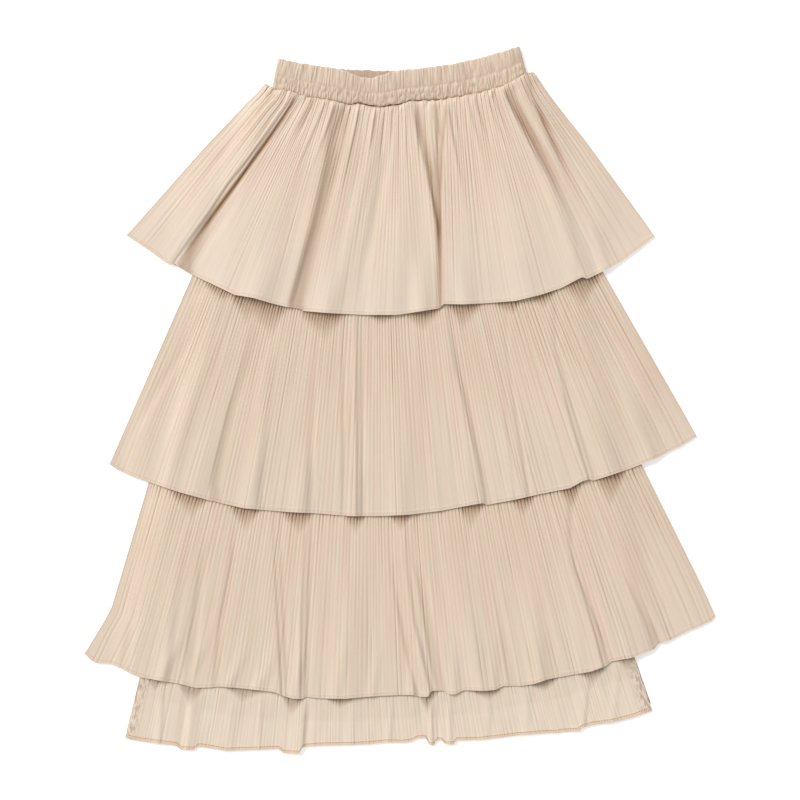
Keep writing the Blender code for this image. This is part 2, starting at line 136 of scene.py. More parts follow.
# A row is one fold of the cloth: how far it reaches to its left and to its right, and the
# line that it runs along, from the top down, with its height above or below the cloth there.
Line = namedtuple("Line", "name left right points")
TIER_1_LINES = (
    Line("left flap's edge", 34.0, 3.5,
         ((-135, 376, 1.8), (-171, 324, 2.1), (-192, 296, 2.3), (-215, 267, 2.5),
          (-241, 228, 2.5), (-265, 196, 2.1), (-284, 170, 1.8))),
    Line("crease beside the flap", 3.0, 5.0,
         ((-128, 373, -2.1), (-164, 321, -3.5), (-207, 262, -3.9), (-240, 217, -2.2),
          (-252, 200, 0.0))),
    Line("valley beside the flap", 4.0, 24.0,
         ((-188, 288, 0.0), (-215, 251, -1.1), (-240, 217, -2.5), (-257, 193, -3.3),
          (-272, 165, -3.5))),
    Line("soft valley of the flap", 7.0, 7.0,
         ((-169, 383, 0.0), (-176, 362, -1.3), (-208, 319, -1.6), (-239, 278, -1.1),
          (-260, 247, 0.0))),
    Line("left lobe", 42.0, 42.0,
         ((-109, 365, 0.4), (-136, 284, 1.8), (-171, 197, 2.2), (-198, 135, 2.6))),
    Line("left lobe's edge", 26.0, 10.0,
         ((-91, 363, 1.4), (-97, 293, 1.5), (-113, 213, 1.5), (-141, 120, 1.4))),
    Line("trough", 13.0, 17.0,
         ((-71, 366, -1.8), (-81, 296, -1.9), (-101, 216, -1.9), (-126, 119, -1.9))),
    Line("middle lobe's left edge", 9.0, 30.0,
         ((-57, 356, 1.8), (-68, 296, 1.6), (-78, 260, 1.6), (-96, 200, 1.2), (-115, 118, 0.8))),
    Line("middle lobe's ridge", 12.0, 12.0,
         ((-36, 361, 1.3), (-36, 301, 1.4), (-60, 210, 1.1), (-74, 123, 0.4))),
    Line("middle lobe's valley", 11.0, 11.0,
         ((-17, 358, 0.0), (-17, 301, -1.4), (-36, 200, -1.8), (-45, 157, -1.1), (-50, 117, -0.4))),
    Line("middle lobe's right half", 26.0, 26.0, ((2, 284, 0.0), (-2, 197, 1.8), (-10, 108, 2.2))),
    Line("middle lobe's right edge", 16.0, 3.0,
         ((14, 361, 1.2), (21, 327, 1.8), (32, 281, 2.1), (45, 216, 1.7), (51, 179, 0.9),
          (52, 123, 0.4))),
    Line("left side of the V", 3.0, 9.0,
         ((19, 361, -0.8), (26, 327, -1.3), (37, 281, -1.6), (46, 216, -1.3), (50, 172, -0.8),
          (51, 123, -0.6))),
    Line("ridge in the V", 4.0, 5.0,
         ((33, 366, 1.8), (38, 321, 1.8), (45, 259, 0.9), (50, 216, 0.0))),
    Line("right side of the V", 6.0, 3.5,
         ((50, 366, -1.3), (48, 309, -1.8), (48, 255, -1.8), (49, 197, -1.5), (49, 120, -1.3))),
    Line("right lobe's edge", 4.5, 60.0,
         ((61, 373, 1.8), (60, 362, 2.1), (56, 309, 2.4), (54, 255, 2.3), (54, 122, 2.1))),
    Line("right lobe", 45.0, 45.0,
         ((112, 358, 0.4), (130, 272, 1.8), (143, 197, 2.2), (161, 128, 2.6))),
    Line("ridge beside the right trough", 16.0, 3.0,
         ((126, 381, 2.0), (157, 320, 2.3), (180, 278, 1.7), (203, 223, 0.9), (217, 191, 0.4))),
    Line("right trough", 4.0, 16.0,
         ((133, 378, -2.6), (149, 348, -3.0), (165, 320, -2.9), (187, 278, -1.9), (211, 223, -0.6),
          (223, 185, 0.0))),
    Line("right ridge", 6.0, 6.0,
         ((154, 373, 0.7), (174, 334, 1.1), (196, 288, 0.7), (217, 241, 0.0))),
    Line("second right valley", 4.0, 7.0,
         ((164, 381, -1.8), (180, 340, -2.6), (196, 306, -1.8), (213, 269, 0.0))),
    Line("right flank's ridge", 12.0, 10.0, ((217, 259, 0.0), (236, 216, 1.3), (255, 167, 1.8))),
    Line("right flank's valley", 8.0, 8.0, ((236, 259, 0.0), (263, 197, -0.9), (278, 172, -1.1))),
    Line("small crease of the corner", 2.5, 4.0,
         ((281, 219, 0.0), (290, 211, -1.1), (300, 203, -1.1), (308, 196, 0.0))),
)
# The creases where shade is painted deepest into the cloth: rows as above, with the amount of
# painted shade in place of a height.
TIER_1_PAINTED_SHADE = (
    Line("crease beside the flap", 3.0, 5.5,
         ((-128, 376, 0.50), (-146, 347, 0.66), (-164, 321, 0.62), (-207, 262, 0.64),
          (-240, 217, 0.36), (-262, 185, 0.12))),
    Line("soft valley of the flap", 2.5, 4.0,
         ((-156, 380, 0.40), (-172, 362, 0.42), (-190, 339, 0.18), (-204, 322, 0.00))),
    Line("valley beside the flap", 3.0, 20.0,
         ((-210, 260, 0.00), (-240, 217, 0.24), (-257, 193, 0.38), (-272, 165, 0.42))),
    Line("trough", 9.0, 16.0,
         ((-78, 366, 0.22), (-86, 314, 0.34), (-94, 270, 0.36), (-107, 216, 0.38),
          (-130, 135, 0.40), (-134, 119, 0.40))),
    Line("floor of the trough", 8.0, 12.0,
         ((-66, 366, 0.14), (-72, 314, 0.20), (-84, 270, 0.22), (-97, 216, 0.22),
          (-118, 135, 0.26), (-123, 119, 0.26))),
    Line("left side of the V", 2.0, 9.0,
         ((19, 366, 0.25), (26, 327, 0.44), (37, 281, 0.52), (46, 216, 0.44), (50, 172, 0.24))),
    Line("right side of the V", 6.0, 2.5,
         ((58, 366, 0.24), (52, 309, 0.42), (50, 255, 0.44), (50, 197, 0.40), (50, 120, 0.34))),
    Line("right trough", 3.5, 12.0,
         ((133, 378, 0.34), (149, 348, 0.50), (165, 320, 0.48), (187, 278, 0.34), (211, 223, 0.13),
          (223, 185, 0.00))),
    Line("second right valley", 3.5, 8.0,
         ((158, 385, 0.24), (180, 340, 0.40), (196, 306, 0.32), (213, 269, 0.10), (228, 238, 0.0))),
)
TIER_2_LINES = (
    Line("left valley", 11.0, 11.0,
         ((-248, 123, 0.0), (-267, 64, -1.0), (-310, -1, -1.4), (-348, -63, -1.5))),
    Line("left ridge", 17.0, 17.0,
         ((-229, 110, 0.0), (-242, 48, 1.0), (-273, -38, 1.8), (-291, -108, 1.8))),
    Line("second valley", 6.0, 13.0,
         ((-176, 104, 0.0), (-185, 69, -1.0), (-211, -17, -1.8), (-231, -104, -2.1))),
    Line("second ridge", 15.0, 12.0,
         ((-155, 86, 0.0), (-164, 40, 1.1), (-171, -26, 1.5), (-180, -104, 1.6))),
    Line("third valley", 11.0, 5.0,
         ((-105, 61, 0.0), (-105, 4, -1.0), (-108, -51, -1.5), (-108, -94, -1.8))),
    Line("narrow ridge", 5.0, 5.0, ((-56, 105, 1.0), (-56, -1, 1.8), (-56, -135, 2.1))),
    Line("left of the narrow ridge", 6.0, 3.0,
         ((-69, 105, -0.7), (-69, -1, -1.3), (-69, -135, -1.4))),
    Line("right of the narrow ridge", 3.0, 7.0,
         ((-47, 105, -0.7), (-47, -1, -1.3), (-46, -135, -1.4))),
    Line("broad ridge", 32.0, 30.0, ((0, 86, 0.0), (2, -26, 1.0), (6, -138, 1.8))),
    Line("ridge of the middle crease", 22.0, 4.0,
         ((56, 100, 0.7), (67, 40, 1.3), (77, -1, 1.5), (97, -94, 2.0), (102, -125, 2.0))),
    Line("middle crease", 3.0, 10.0,
         ((62, 100, -0.5), (74, 40, -1.0), (84, -1, -1.3), (104, -95, -1.6), (109, -125, -1.6))),
    Line("right ridge", 12.0, 5.0, ((118, 73, 0.0), (128, -26, 0.7), (139, -119, 1.0))),
    Line("right line", 5.0, 4.0, ((133, 60, -0.5), (146, -26, -1.0), (160, -114, -1.2))),
    Line("ridge of the right crease", 26.0, 3.5,
         ((186, 73, 0.5), (208, -20, 1.7), (231, -98, 2.2))),
    Line("right crease", 3.0, 11.0, ((193, 67, -0.7), (218, -22, -1.5), (241, -95, -1.7))),
    Line("last ridge", 16.0, 15.0, ((248, 86, 0.0), (279, -1, 1.0), (310, -63, 1.8))),
    Line("last valley", 8.0, 9.0, ((263, 73, 0.0), (298, -1, -1.0), (332, -61, -1.5))),
)
# Shade painted into the second valley of the middle flounce, as above.
TIER_2_PAINTED_SHADE = (
    Line("second valley", 3.0, 14.0,
         ((-178, 95, 0.00), (-190, 50, 0.16), (-211, -17, 0.24), (-231, -104, 0.26))),
)
TIER_3_LINES = (
    Line("edge valley", 8.0, 9.0, ((-322, -237, 0.0), (-337, -299, -1.6), (-342, -331, -2.0))),
    Line("left ridge", 18.0, 12.0, ((-264, -150, 0.0), (-283, -249, 1.6), (-295, -351, 2.6))),
    Line("left valley", 9.0, 8.0,
         ((-241, -181, 0.0), (-246, -222, -1.8), (-260, -325, -2.8), (-263, -361, -2.9))),
    Line("second valley", 6.0, 8.0,
         ((-202, -150, 0.0), (-207, -200, -1.8), (-221, -274, -2.0), (-229, -353, -1.9))),
    Line("left fold", 24.0, 3.0, ((-159, -162, 0.5), (-155, -249, 1.2), (-149, -363, 2.2))),
    Line("line beside the left fold", 2.5, 9.0,
         ((-148, -181, -0.5), (-145, -249, -1.0), (-140, -366, -1.5))),
    Line("ridge of the step", 9.0, 3.0, ((-120, -187, 0.5), (-124, -274, 1.4), (-125, -372, 2.0))),
    Line("step", 3.5, 7.0, ((-110, -181, -0.8), (-114, -274, -1.8), (-117, -371, -2.2))),
    Line("broad ridge", 30.0, 34.0, ((-60, -200, 0.5), (-66, -299, 2.5), (-67, -373, 3.1))),
    Line("valley before the pair", 6.0, 6.0,
         ((-10, -200, -0.5), (-1, -254, -1.4), (10, -311, -2.2), (22, -361, -2.2))),
    Line("ridge of the pair", 6.0, 6.0, ((5, -200, 1.0), (15, -274, 1.8), (35, -361, 2.5))),
    Line("wide valley", 7.0, 11.0,
         ((19, -200, -1.0), (29, -238, -2.4), (40, -311, -3.8), (51, -368, -3.0))),
    Line("ridge after the pair", 22.0, 24.0, ((64, -200, 0.5), (82, -274, 2.0), (102, -361, 3.8))),
    Line("soft valley", 8.0, 8.0, ((124, -249, 0.0), (134, -311, -2.0), (141, -358, -2.8))),
    Line("soft ridge", 20.0, 20.0, ((155, -200, 0.0), (165, -274, 1.5), (177, -348, 2.8))),
    Line("ridge of the right crease", 24.0, 4.0,
         ((206, -181, 0.8), (236, -279, 2.2), (250, -327, 2.8))),
    Line("right crease", 3.5, 10.0,
         ((213, -181, -0.8), (219, -211, -1.5), (246, -281, -2.4), (259, -327, -3.0))),
    Line("short crease", 5.0, 9.0,
         ((278, -212, 0.0), (290, -238, -1.8), (311, -286, -3.2), (320, -311, -4.0))),
    Line("last ridge", 12.0, 12.0, ((300, -237, 0.0), (332, -301, 2.5))),
)
UNDERSKIRT_LINES = (
    Line("left pleat", 9.0, 5.0, ((-294, -353, 1.0), (-300, -430, 1.0))),
    Line("beside the left tab", 9.0, 3.0,
         ((-263, -358, -1.2), (-268, -400, -1.2), (-273, -433, -0.8))),
    Line("left tab", 3.5, 17.0, ((-256, -358, 1.3), (-261, -400, 1.3), (-266, -435, 1.8))),
    Line("soft pleat", 10.0, 8.0, ((-208, -358, 0.8), (-211, -436, 1.0))),
    Line("third pleat", 6.0, 4.0, ((-171, -361, 0.8), (-176, -436, 0.8))),
    Line("second tab", 20.0, 3.5, ((-118, -366, 1.5), (-123, -441, 2.0))),
    Line("beside the second tab", 3.0, 9.0, ((-112, -366, -1.0), (-117, -438, -1.2))),
    Line("fourth pleat", 10.0, 10.0, ((-60, -373, 0.8), (-62, -430, 0.8))),
    Line("fifth pleat", 6.0, 5.0, ((-10, -370, 0.8), (-14, -425, 0.9))),
    Line("first middle tab", 5.0, 3.0, ((38, -370, 1.3), (40, -429, 1.9))),
    Line("between the middle tabs", 3.0, 3.0, ((48, -370, -0.8), (48, -425, -1.2))),
    Line("second middle tab", 5.0, 6.0, ((61, -368, 0.8), (62, -429, 1.2))),
    Line("sixth pleat", 12.0, 6.0, ((112, -361, 0.6), (107, -423, 0.7))),
    Line("seventh pleat", 10.0, 8.0, ((159, -357, 0.5), (155, -418, 0.6))),
    Line("right tab", 20.0, 4.5, ((233, -341, 0.5), (229, -380, 0.6), (226, -412, 1.1))),
    Line("beside the right tab", 3.0, 9.0, ((238, -339, -0.2), (232, -408, -0.6))),
    Line("last pleat", 9.0, 7.0, ((270, -329, 0.6), (265, -399, 0.7))),
)

# The lower edge of each layer, from left to right, with the steps where folds end in it.
TIER_1_HEM = (
    (-340, 203.4), (-312, 184.8), (-290, 168.6), (-284, 166.2), (-280, 168.6), (-277, 165.6),
    (-262, 156.2), (-233, 142.6), (-205, 129.0), (-182, 125.2), (-161, 119.0), (-141, 114.1),
    (-123, 111.6), (-120, 109.1), (-91, 106.6), (-42, 104.2), (-4, 104.2), (25, 108.5),
    (51, 112.8), (53, 117.8), (78, 117.2), (110, 119.0), (143, 121.5), (174, 129.0),
    (200, 137.6), (215, 145.6), (226, 151.3), (232, 148.8), (250, 157.5), (277, 172.4),
    (316.5, 202.1),
)
TIER_2_HEM = (
    (-361, -81.2), (-351, -87.8), (-337, -94.2), (-312, -102.9), (-274, -115.3), (-238, -125.2),
    (-195, -135.2), (-138, -140.1), (-99, -142.0), (-63, -145.1), (-25, -145.1), (12, -143.2),
    (51, -138.5), (88, -131.4), (103, -129.0), (107, -131.4), (140, -125.2), (174, -117.8),
    (211, -110.4),
    (226, -101.7), (236, -99.2), (238, -101.7), (286, -86.4), (320, -72.4), (350, -57.6),
    (369, -46.0),
)
TIER_3_HEM = (
    (-392, -316.2), (-384, -324.5), (-377, -328.0), (-360, -328.5), (-344, -335.0),
    (-336, -339.8), (-322, -345.5), (-295, -349.5), (-273, -353.4), (-253, -358.4),
    (-238, -358.0), (-223, -356.6), (-191, -359.5), (-156, -363.3), (-144, -368.5),
    (-134, -371.5), (-121, -372.2), (-117, -369.3), (-100, -371.4), (-68, -371.6), (-48, -369.8),
    (-25, -368.2), (0, -367.2), (14, -366.8), (25, -369.4), (35, -369.4), (39, -362.0),
    (55, -362.0), (59, -366.0), (68, -366.5), (79, -361.2), (106, -361.7), (119, -360.4),
    (128, -356.0), (149, -356.0), (166, -353.3), (182, -347.8), (216, -341.5), (236, -338.2),
    (257, -330.5), (262, -325.5), (287, -321.0), (316, -310.5), (320, -304.0), (338, -298.5),
    (359, -287.5), (372, -282.3), (388, -275.0), (392, -269.5),
)
UNDERSKIRT_HEM = (
    (-342, -421.0), (-325, -424.5), (-310, -426.5), (-295, -428.3), (-277, -430.6),
    (-274, -435.5), (-256, -435.8), (-251, -431.5), (-240, -433.0), (-216, -437.0),
    (-186, -435.8), (-151, -434.5), (-145, -440.0), (-124, -440.6), (-122, -432.5),
    (-100, -430.5), (-68, -429.8), (-42, -429.0), (-15, -426.3), (2, -427.0), (12, -426.0),
    (22, -421.5), (33, -420.8), (35, -430.0), (43, -430.0), (45, -424.0), (53, -424.0),
    (55, -429.0), (67, -429.0), (70, -424.0), (98, -423.5), (145, -418.0), (181, -415.0),
    (196, -415.0), (201, -413.5), (223, -412.5), (227, -408.0), (242, -404.5), (263, -402.0),
    (290, -395.5), (314, -386.5),
)
HEMS = {"tier_1": TIER_1_HEM, "tier_2": TIER_2_HEM, "tier_3": TIER_3_HEM}
HEM_ROUNDING = (-1.6, -0.8, 0.0, 0.8, 1.6)     # distances over which an edge's corners are rounded
DIPS_BEGIN = 0.86          # share of the way down where a hem's own shape begins to show

# The share of the way down at which the folds have grown to their full height.
FOLDS_BEGIN = {"tier_1": 0.05, "tier_2": 0.16, "tier_3": 0.16, "underskirt": 0.16}
SIDE_REACH = 26.0          # how far in from a side edge the folds are lower
PLEAT_SIDE_REACH = 6.0     # and the pleats
SOFT_FLOOR = 1.0           # how softly a valley meets the layer below

# A front climbs on to what lies under it between these distances from that one's side and top
# edges, which are negative outside them.
CLIMB_AT_SIDE = (-48.0, -9.0)
CLIMB_AT_TOP = (-130.0, -4.0)
HIDDEN_PLEATS = 1.4        # height of the pleats of the next flounce down, where they are hidden

# Where a flounce ends in flutes, the cloth below it lies in a hollow, where shade is painted warm
# and deep into its creases. A row is one hollow: its two ends in X, where it is deepest, and how
# far down it reaches.
Hollow = namedtuple("Hollow", "left_x deepest_x right_x reach")
HOLLOWS = {
    "tier_1": (),
    "tier_2": (
        Hollow(-252, -222, -205, 18.9), Hollow(-216, -190, -160, 36.0),
        Hollow(-216, -158, -138, 44.0), Hollow(-132, -92, -64, 37.8), Hollow(-42, -20, -6, 13.5),
        Hollow(2, 30, 56, 27.0), Hollow(58, 78, 106, 35.1), Hollow(112, 140, 152, 17.6),
        Hollow(158, 180, 196, 20.2), Hollow(200, 226, 256, 40.5),
    ),
    "tier_3": (
        Hollow(-292, -258, -236, 30.6), Hollow(-216, -190, -172, 34.0), Hollow(-150, -124, -104, 30.6),
        Hollow(-72, -54, -40, 23.8), Hollow(-14, 2, 18, 22.1), Hollow(70, 88, 108, 34.0),
        Hollow(136, 154, 170, 27.2), Hollow(196, 214, 228, 34.0), Hollow(240, 262, 284, 44.0),
    ),
    "underskirt": (
        Hollow(-316, -304, -294, 18.4), Hollow(-278, -262, -240, 27.0), Hollow(-218, -196, -166, 19.5),
        Hollow(-150, -134, -118, 20.7), Hollow(-94, -74, -52, 13.8), Hollow(20, 36, 50, 20.7),
        Hollow(84, 112, 128, 13.8), Hollow(160, 180, 200, 16.1), Hollow(222, 240, 258, 23.0),
        Hollow(268, 284, 298, 18.4),
    ),
}
HOLLOW_DEPTH = 1.3      # how deep the cloth lies in a hollow
HOLLOW_SHARPNESS = 1.3  # how soon it has sunk that far, up from the hollow's lower end
HOLLOW_SHADE_PAINT = 0.50      # how much deeper its tone is there
COMB_REACH = 13.0       # how far below a hem the pleats are deeper
COMB_HALF = 0.30        # and by how much, as a half height

# A row is one pleated flounce: its pleats across the front, its width of cloth, its height
# above what it lies on and the half height of its pleats at the height shares below, and the
# share of the creases between its pleats that are pressed out towards the hem. Down to the
# share gathered_to, every second crease is hidden in the gathers.
Pleating = namedtuple("Pleating", "count cloth lift half pressed_out gathered_to")
HEIGHT_SHARES = (0.00, 0.02, 0.06, 0.20, 0.34, 0.60, 0.80, 1.00)
TIER_1_PLEATING = Pleating(128, 675.0, (0.0, 1.6, 3.0, 3.8, 4.3, 4.0, 2.6, 0.8),
                           (0.46, 0.46, 0.38, 0.26, 0.22, 0.19, 0.16, 0.10), 0.65, 0.30)
TIER_2_PLEATING = Pleating(142, 780.0, (0.0, 0.2, 0.3, 0.9, 1.5, 2.1, 1.6, 0.5),
                           (0.25, 0.25, 0.26, 0.26, 0.24, 0.19, 0.17, 0.15), 0.45, 0.0)
TIER_3_PLEATING = Pleating(150, 834.0, (0.0, 0.2, 0.3, 0.8, 1.2, 1.5, 1.3, 0.5),
                           (0.25, 0.25, 0.25, 0.24, 0.21, 0.18, 0.18, 0.17), 0.40, 0.0)
SHARPER_FLANK = 0.4     # how much deeper the pleats are at the right end of a flounce

# The pleats of the highest flounce follow its folds. A row is the number of a pleat from the
# left, and where in X it starts at the waist and ends at the hem.
Guide = namedtuple("Guide", "pleat top hem")
TIER_1_GUIDES = (
    Guide(0, -168.5, -340.0), Guide(11, -135.0, -282.0), Guide(22, -112.0, -224.0),
    Guide(36, -87.0, -150.0), Guide(43, -60.0, -122.0), Guide(57, -17.0, -46.0),
    Guide(74, 16.0, 48.5), Guide(80, 57.0, 54.5), Guide(103, 112.0, 176.0),
    Guide(114, 133.0, 240.0), Guide(128, 167.5, 316.5),
)
GUIDE_ROUNDING = (-4.0, -2.0, 0.0, 2.0, 4.0)     # pleats over which a guide's bend is rounded

# A pleat has a sharp crease at its left and a rounded ridge: places across it, and heights.
PLEAT_PLACES = (0.00, 0.22, 0.50, 0.78)
PLEAT_RISES = (-1.00, 0.45, 0.90, 0.45)
PLEAT_WIDTHS = 0.15      # how uneven the pleats are in width
PLEAT_HEIGHTS = 0.22     # and in height
WAVE_WIDTH = 600.0       # width of cloth that a panel's soft waves are spread over


def smooth(start, end, value):
    """Rise from 0 at start to 1 at end, with level ends."""
    t = np.clip((np.asarray(value, dtype=float) - start) / (end - start), 0.0, 1.0)
    return t * t * (3.0 - 2.0 * t)


def section_at(sections, share):
    """The section at one share, or at an array of shares, from the top to the hem."""
    shares = [section.share for section in sections]
    return Section(*(np.interp(share, shares, column) for column in zip(*sections)))


def plan(sections, share, place):
    """Where a share down and a place across the panel lie, seen from above."""
    row = section_at(sections, share)
    hang = 1.0 - np.abs(2.0 * place - 1.0) ** row.squareness
    x = row.left_x + (row.right_x - row.left_x) * place
    y = row.left_y + (row.right_y - row.left_y) * place - row.sag * hang
    return x, y


def line_y(section, x):
    """Height in Y of one section's curve at x."""
    place = np.clip((x - section.left_x) / (section.right_x - section.left_x), 0.0, 1.0)
    hang = 1.0 - np.abs(2.0 * place - 1.0) ** section.squareness
    return section.left_y + (section.right_y - section.left_y) * place - section.sag * hang


def inside_sides(sections, x, y):
    """How far a point lies inside a panel's two side edges."""
    rows = sorted(sections, key=lambda row: row.left_y)
    left = np.interp(y, [row.left_y for row in rows], [row.left_x for row in rows])
    rows = sorted(sections, key=lambda row: row.right_y)
    right = np.interp(y, [row.right_y for row in rows], [row.right_x for row in rows])
    return np.minimum(x - left, right - x)


def seam_strays(x):
    """How far the waist seam strays from its even curve."""
    at_x, stray = np.asarray(SEAM_STRAYS).T
    return np.mean([np.interp(x + d, at_x, stray) for d in HEM_ROUNDING], axis=0)


def meet_waist(share, x, y):
    """Bring the top of a panel that is sewn into the waist to the waistband's edge."""
    seam = BAND_SECTIONS[-1]
    shoulder = np.maximum(np.maximum(seam.left_x - x, x - seam.right_x), 0.0)
    at_seam = line_y(seam, x) - SEAM_GAP - EDGE_TILT - SHOULDER_DROP * shoulder
    return np.where(share <= 0.0, at_seam, y)


def share_past(sections, above, distance, place):
    """The shares at which the columns are a distance past the hem of the panel above."""
    hem = above[-1]
    low = np.zeros_like(place)
    high = np.ones_like(place)
    for _ in range(40):
        middle = (low + high) / 2.0
        x, y = plan(sections, middle, place)
        before = y > line_y(hem, x) - distance
        low = np.where(before, middle, low)
        high = np.where(before, high, middle)
    return (low + high) / 2.0


def back_underside(name, x, y):
    """Height of the underside of a back panel, which steps down past the hem it lies on."""
    if name not in ABOVE:
        return np.zeros_like(x)
    past = line_y(SECTIONS[ABOVE[name]][-1], x) - y
    step = (past - STEP_CLEAR) / STEP_LENGTH[name]
    return LAYERS_UNDER[name] * LAYER * (1.0 - np.clip(step, 0.0, 1.0))


def front_floor(name, x, y):
    """Lowest middle height of a front wall that clears everything under it."""
    middle = SEAM_GAP + CAD_CLOTH / 2.0
    floor = back_underside(name, x, y) + CAD_CLOTH + middle
    if name == "underskirt":
        return floor
    on_underskirt = smooth(*CLIMB_AT_SIDE, inside_sides(UNDERSKIRT_SECTIONS, x, y))
    underskirt_top = back_underside("underskirt", x, y) + LAYER + CAD_CLOTH
    floor = floor + np.maximum(underskirt_top + middle - floor, 0.0) * on_underskirt
    if name in NEXT_DOWN:
        sections = SECTIONS[NEXT_DOWN[name]]
        on_next = smooth(*CLIMB_AT_SIDE, inside_sides(sections, x, y))
        on_next = on_next * smooth(*CLIMB_AT_TOP, line_y(sections[0], x) - y)
        floor = floor + (LAYER + HIDDEN_PLEATS) * on_next
    return floor


def fold_heights(lines, share, x, y, begin):
    """Height of all the folds at points of a row. Folds grow from nothing at the seam."""
    height = np.zeros_like(x)
    for line in lines:
        at_y, line_x, rise = np.asarray([(py, px, h) for px, py, h in line.points[::-1]]).T
        slope = np.interp(y, at_y, np.gradient(line_x, at_y))
        across = (x - np.interp(y, at_y, line_x)) / np.sqrt(1.0 + slope ** 2)
        reach = np.where(across < 0.0, line.left, line.right)
        crest = 1.0 - smooth(0.0, 1.0, np.abs(across) / reach)
        height += np.interp(y, at_y, rise) * crest
    return height * smooth(0.0, begin, share)


def below_hem(name, x, y):
    """How far points lie below the hem of the flounce above, and far where there is none."""
    if name not in ABOVE:
        return np.full_like(x, 1000.0)
    at_x, at_y = np.asarray(HEMS[ABOVE[name]]).T
    return np.interp(x, at_x, at_y) - y


def hollow_depth(name, x, below):
    """How deep points lie in the hollows under the hem above, from 0 to 1."""
    depth = np.zeros_like(x)
    for hollow in HOLLOWS[name]:
        across = np.interp(x, (hollow.left_x, hollow.deepest_x, hollow.right_x), (0.0, 1.0, 0.0))
        reach = hollow.reach * across + 0.1
        sunk = np.clip(HOLLOW_SHARPNESS * (1.0 - below / reach), 0.0, 1.0)
        depth = np.maximum(depth, sunk * smooth(0.0, 0.5, across))
    return depth * smooth(-20.0, -4.0, below)


def hem_dips(sections, hem, share, hem_x):
    """How far the edge hangs below its even curve, fading out above the hem."""
    at_x, at_y = np.asarray(hem).T
    edge = np.mean([np.interp(hem_x + d, at_x, at_y) for d in HEM_ROUNDING], axis=0)
    return (line_y(sections[-1], hem_x) - edge) * smooth(DIPS_BEGIN, 1.0, share)


def pleats_x(sections, guides, share, place):
    """Where pleats that run straight from the top to the hem cross a row, inside its sides."""
    pleat, top_x, hem_x = np.asarray(guides).T
    here = place * pleat[-1]
    reach = np.clip(np.minimum(here, pleat[-1] - here) / GUIDE_ROUNDING[-1], 0.0, 1.0)
    from_top = np.mean([np.interp(here + d * reach, pleat, top_x) for d in GUIDE_ROUNDING], axis=0)
    to_hem = np.mean([np.interp(here + d * reach, pleat, hem_x) for d in GUIDE_ROUNDING], axis=0)
    straight = from_top + (to_hem - from_top) * share
    row = section_at(sections, share)
    left = row.left_x - straight[0]
    right = row.right_x - straight[-1]
    return straight + left * (1.0 - smooth(0.0, 0.12, place)) + (
        right * smooth(0.88, 1.0, place))


def wander(rng, across, down, cell_across, cell_down):
    """Smooth noise from -1 to 1 whose cells have these sizes, at places across and down."""
    u = (across - across.min()) / cell_across
    v = (down - down.min()) / cell_down
    lattice = rng.uniform(-1.0, 1.0, (int(v.max()) + 3, int(u.max()) + 3))
    i, j = v.astype(int), u.astype(int)
    a, b = v - i, u - j
    a, b = a * a * (3.0 - 2.0 * a), b * b * (3.0 - 2.0 * b)
    top = lattice[i, j] * (1.0 - b) + lattice[i, j + 1] * b
    low = lattice[i + 1, j] * (1.0 - b) + lattice[i + 1, j + 1] * b
    return top * (1.0 - a) + low * a


def square_up(points):
    """Direction square to the cloth, along a row."""
    along = np.gradient(points, axis=0)
    along /= np.linalg.norm(along, axis=1)[:, None]
    up = np.array([0.0, 0.0, 1.0]) - along * along[:, 2:3]
    return up / np.linalg.norm(up, axis=1)[:, None]


def srgb(code):
    """Linear colour of an sRGB hex value."""
    parts = [int(code[k:k + 2], 16) / 255.0 for k in (1, 3, 5)]
    linear = [p / 12.92 if p <= 0.04045 else ((p + 0.055) / 1.055) ** 2.4 for p in parts]
    return (*linear, 1.0)


def add(tree, kind, settings=None, links=None):
    """A node with its settings, and its inputs linked or set."""
    node = tree.nodes.new(kind)
    for name, value in (settings or {}).items():
        setattr(node, name, value)
    for name, value in (links or {}).items():
        if isinstance(value, bpy.types.NodeSocket):
            tree.links.new(value, node.inputs[name])
        else:
            node.inputs[name].default_value = value
    return node


# A row is one cloth: the two tones that its pleats drift between, the rosier one, the paler one
# of light painted near the hem, the deep one of shade painted into the creases and the one where
# it is sewn double. Then how far its hem is turned, its width, and how much its side seams show,
# as seam allowance and painted shade, from 0 to 1.
Cloth = namedtuple("Cloth", "name light dark rosy pale deep doubled turn width seams")


